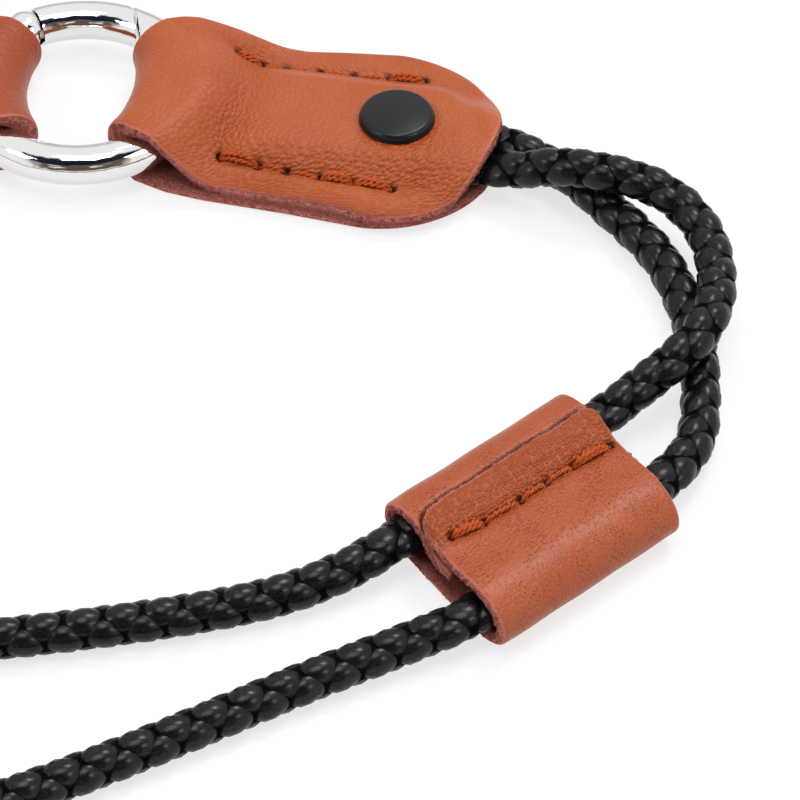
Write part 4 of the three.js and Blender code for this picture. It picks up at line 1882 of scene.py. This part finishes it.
@dataclass
class GateRing:
    """The nickel ring and its sprung gate."""

    hinge_deg: float = 135.0
    seam_deg: float = 74.0
    seam_gap: float = 0.3
    seam_lean: float = 2.0
    knuckle: float = 2.25
    clearance: float = 0.14
    tongue_radius: float = 1.9
    tongue_half: float = 0.65
    slot_radius: float = 2.4
    slot_half: float = 0.9
    pin_radius: float = 0.75
    pin_half: float = 1.5
    pin_hole: float = 0.83
    setback_deg: float = 7.0
    wire_sides: int = 48
    steps: int = 180
    chamfer: float = 0.14
    chamfer_pace: float = 0.01
    ball_reach_deg: float = 89.0
    ball_rings: int = 31
    crisp_deg: float = 38.0

    def hinge(self) -> np.ndarray:
        """The hinge's place in the ring's plane."""
        turn = math.radians(self.hinge_deg)
        return RING_RADIUS * np.array([math.cos(turn), math.sin(turn)])

    def seam_angle(self, radius: np.ndarray, gap: float) -> np.ndarray:
        """Ring angle at which the leaning seam cuts each fibre of the wire.

        Args:
            radius: Distances from the ring's centre.
            gap: Shift of the cut from the seam's middle.

        Returns:
            Angles in radians.
        """
        turn = math.radians(self.seam_deg)
        tip = RING_RADIUS * np.array([math.cos(turn), math.sin(turn)])
        swing = tip - self.hinge()
        inward = np.array([swing[1], -swing[0]]) / np.linalg.norm(swing)
        centre = self.hinge() + self.seam_lean * inward
        reach = np.linalg.norm(tip - centre) + gap
        away = np.linalg.norm(centre)
        bend = np.arccos((away**2 + radius**2 - reach**2) / (2 * radius * away))
        return math.atan2(centre[1], centre[0]) - bend

    def wire(self, name: str, start: float, gap: float, full_turn: float) -> bpy.types.Object:
        """A bar of round wire from an angle to the seam.

        Args:
            name: The object's name.
            start: Starting angle in radians.
            gap: Shift of the seam's cut.
            full_turn: Turn added to the seam's angle.

        Returns:
            The bar as an object without a material.
        """
        around = circle(self.wire_sides)
        sweep = abs(self.seam_deg - math.degrees(start) + 360.0)
        last = 1.0 - self.chamfer / (RING_RADIUS * sweep * self.chamfer_pace)
        sections = [(share, 1.0) for share in np.linspace(0.0, 1.0, self.steps)[:-1]]
        sections += [(last, 1.0), (1.0, 1.0 - self.chamfer / WIRE_RADIUS)]
        end = self.seam_angle(RING_RADIUS + WIRE_RADIUS * np.cos(around), gap) + full_turn
        rings = []
        for share, size in sections:
            radius = RING_RADIUS + WIRE_RADIUS * size * np.cos(around)
            angle = start + (end - start) * share
            rings.append(np.stack([
                radius * np.cos(angle), radius * np.sin(angle), WIRE_RADIUS * size * np.sin(around),
            ], axis=-1))
        draft = MeshDraft()
        draft.tube(np.array(rings) + RING_CENTRE)
        return draft.build(name, [])

    def turned(self, profile: Sequence[tuple[float, float]]) -> bpy.types.Object:
        """A turned solid standing on the hinge.

        Args:
            profile: Radii and heights about the ring's plane, from low to high.

        Returns:
            The solid as an object without a material.
        """
        angle = circle(self.wire_sides)
        spot = np.append(self.hinge(), 0.0) + RING_CENTRE
        rings = np.array([
            np.stack([radius * np.cos(angle), radius * np.sin(angle), 0.0 * angle + height], axis=-1)
            for radius, height in profile
        ])
        draft = MeshDraft()
        draft.tube(rings + spot)
        return draft.build("turned", [])

    def disc(self, radius: float, half: float) -> bpy.types.Object:
        """A flat disc about the hinge."""
        return self.turned([(radius, -half), (radius, half)])

    def ball(self, radius: float) -> bpy.types.Object:
        """A ball about the hinge."""
        lifts = np.radians(np.linspace(-self.ball_reach_deg, self.ball_reach_deg, self.ball_rings))
        return self.turned([(radius * math.cos(lift), radius * math.sin(lift)) for lift in lifts])

    @staticmethod
    def carve(target: bpy.types.Object, tool: bpy.types.Object, how: Carve) -> None:
        """Joins or cuts a solid with a tool, and drops the tool.

        Args:
            target: The solid to change.
            tool: The solid to carve it with.
            how: Whether to join or to cut.
        """
        modifier = target.modifiers.new("carve", "BOOLEAN")
        modifier.operation = how.value
        modifier.solver = "EXACT"
        modifier.object = tool
        graph = bpy.context.evaluated_depsgraph_get()
        mesh = bpy.data.meshes.new_from_object(target.evaluated_get(graph))
        target.modifiers.clear()
        target.data = mesh
        bpy.data.objects.remove(tool)

    def finish(self, piece: bpy.types.Object, material: bpy.types.Material) -> None:
        """Smooths the wire, keeps the cut edges crisp and plates it.

        Args:
            piece: The bar.
            material: The plate.
        """
        piece.data.materials.clear()
        piece.data.materials.append(material)
        piece.data.polygons.foreach_set("use_smooth", np.ones(len(piece.data.polygons), bool))
        piece.data.set_sharp_from_angle(angle=math.radians(self.crisp_deg))

    def build(self) -> None:
        """Makes the ring and the gate."""
        nickel = NickelFinish().make()
        hinge = math.radians(self.hinge_deg)
        body = self.wire("ring_wire", hinge, self.seam_gap / 2, 2 * math.pi)
        self.carve(body, self.ball(self.knuckle), Carve.JOIN)
        self.carve(body, self.disc(self.slot_radius, self.slot_half), Carve.CUT)
        self.carve(body, self.disc(self.pin_radius, self.pin_half), Carve.JOIN)
        gate = self.wire("ring_gate_bar", hinge - math.radians(self.setback_deg), -self.seam_gap / 2, 0.0)
        seat = self.ball(self.knuckle + self.clearance)
        self.carve(seat, self.disc(2 * self.knuckle, self.tongue_half), Carve.CUT)
        self.carve(gate, seat, Carve.CUT)
        self.carve(gate, self.disc(self.tongue_radius, self.tongue_half), Carve.JOIN)
        self.carve(gate, self.disc(self.pin_hole, 2 * self.knuckle), Carve.CUT)
        for piece, body_name, node in ((body, Body.LANYARD, "ring_body"), (gate, Body.GATE, "ring_gate")):
            self.finish(piece, nickel)
            settle(piece, body_name, Slot.NICKEL, node)


@dataclass(frozen=True)
class Lamp:
    """One soft square light aimed at the part, its angles in degrees and its side in millimetres."""

    name: str
    azimuth: float
    elevation: float
    side: float
    watts: float

    def hang(self, target: Spot, distance: float) -> None:
        """Hangs the light.

        Args:
            target: What it is aimed at, in millimetres.
            distance: How far off it hangs, in millimetres.
        """
        data = bpy.data.lights.new(self.name, "AREA")
        data.size = self.side * MM
        data.energy = self.watts
        heading = Vector(bearing(self.azimuth, self.elevation).tolist())
        light = bpy.data.objects.new(self.name, data)
        light.location = (Vector(target) + heading * distance) * MM
        light.rotation_euler = heading.to_track_quat("Z", "Y").to_euler()
        bpy.context.scene.collection.objects.link(light)


@dataclass
class Studio:
    """Camera, lights, sky and table."""

    target: Spot = (17.45, -34.7, 0.0)
    azimuth: float = 11.5
    elevation: float = 45.0
    distance: float = 480.0
    lens: float = 216.0
    clip_start: float = 0.01
    table_side: float = 3000.0
    lamps: tuple[Lamp, ...] = (
        Lamp("overhead", 11.5, 82.0, 420.0, 2.6),
        Lamp("key", 157.0, 61.0, 260.0, 2.8),
        Lamp("left", -52.0, 42.0, 240.0, 1.3),
        Lamp("right", 66.0, 40.0, 240.0, 1.3),
    )
    lamp_distance: float = 900.0
    white: Tone = (1.0, 1.0, 1.0)
    back_grey: Tone = (0.60, 0.60, 0.62)
    navy: Tone = (0.010, 0.013, 0.030)
    brown: Tone = (0.13, 0.085, 0.055)
    back_front: Span = (0.0, -0.6)
    back_up: Span = (0.6, 0.2)
    gap_front: Span = (0.16, 0.28)
    gap_up: Span = (0.52, 0.62)
    gap_aside: Span = (0.85, 0.65)
    room_front: Span = (0.35, 0.5)
    room_low: Span = (0.04, 0.10)
    room_high: Span = (0.64, 0.54)
    room_aside: Span = (0.7, 0.5)
    patches: Noise = Noise(3.0)
    patch_share: Span = (0.36, 0.50)
    sky_strength: float = 1.06

    def camera(self) -> None:
        """Places the camera at the photograph's angle."""
        data = bpy.data.cameras.new("camera")
        data.lens = self.lens
        data.clip_start = self.clip_start
        away = bearing(self.azimuth, self.elevation)
        camera = bpy.data.objects.new("camera", data)
        camera.location = ((np.array(self.target) + self.distance * away) * MM).tolist()
        camera.rotation_euler = Vector((-away).tolist()).to_track_quat("-Z", "Y").to_euler()
        bpy.context.scene.collection.objects.link(camera)
        bpy.context.scene.camera = camera

    def table(self) -> None:
        """Lays the pale table under the part."""
        draft = MeshDraft()
        half = self.table_side / 2
        corners = np.array([[-half, -half, 0.0], [half, -half, 0.0], [half, half, 0.0], [-half, half, 0.0]])
        first = draft.add_points(corners)
        draft.add_quads(first + np.arange(4)[None])
        draft.build("table", [FloorFinish().make()])

    def sky(self) -> None:
        """White surroundings with a dark gap and brown patches round the camera, for the nickel to mirror."""
        world = bpy.data.worlds.new("studio")
        bpy.context.scene.world = world
        graph = Graph(world, "Background")
        spot = graph.node("ShaderNodeTexCoord", output="Generated")
        turn = math.radians(self.azimuth)
        front = graph.facing(spot, (math.sin(turn), -math.cos(turn), 0.0))
        side = graph.facing(spot, (math.cos(turn), math.sin(turn), 0.0))
        up = graph.facing(spot, (0.0, 0.0, 1.0))
        aside = side.most(-1.0 * side)
        behind = front.step(*self.back_front) * up.step(*self.back_up)
        tone = graph.blend(behind, self.white, self.back_grey)
        gap = front.step(*self.gap_front) * up.step(*self.gap_up) * aside.step(*self.gap_aside)
        tone = graph.blend(gap, tone, self.navy)
        patch = graph.noise(spot, self.patches).step(*self.patch_share)
        level = up.step(*self.room_low) * up.step(*self.room_high)
        room = front.step(*self.room_front) * level * aside.step(*self.room_aside) * patch
        tone = graph.blend(room, tone, self.brown)
        graph.shade(Color=tone, Strength=self.sky_strength)

    def build(self) -> None:
        """Sets the stage."""
        self.camera()
        self.table()
        self.sky()
        for lamp in self.lamps:
            lamp.hang(self.target, self.lamp_distance)
        bpy.context.scene.view_settings.view_transform = "Standard"


def main() -> None:
    """Builds the lanyard's pieces in order."""
    logging.basicConfig(level=logging.INFO, format="%(name)s %(message)s")
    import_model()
    Studio().build()
    Cord().build()
    hides = Hides.make()
    for piece in (cord_tab(), phone_tab(), Slider()):
        piece.build(hides)
    CapRivet().build()
    GateRing().build()


if __name__ == "__main__":
    main()
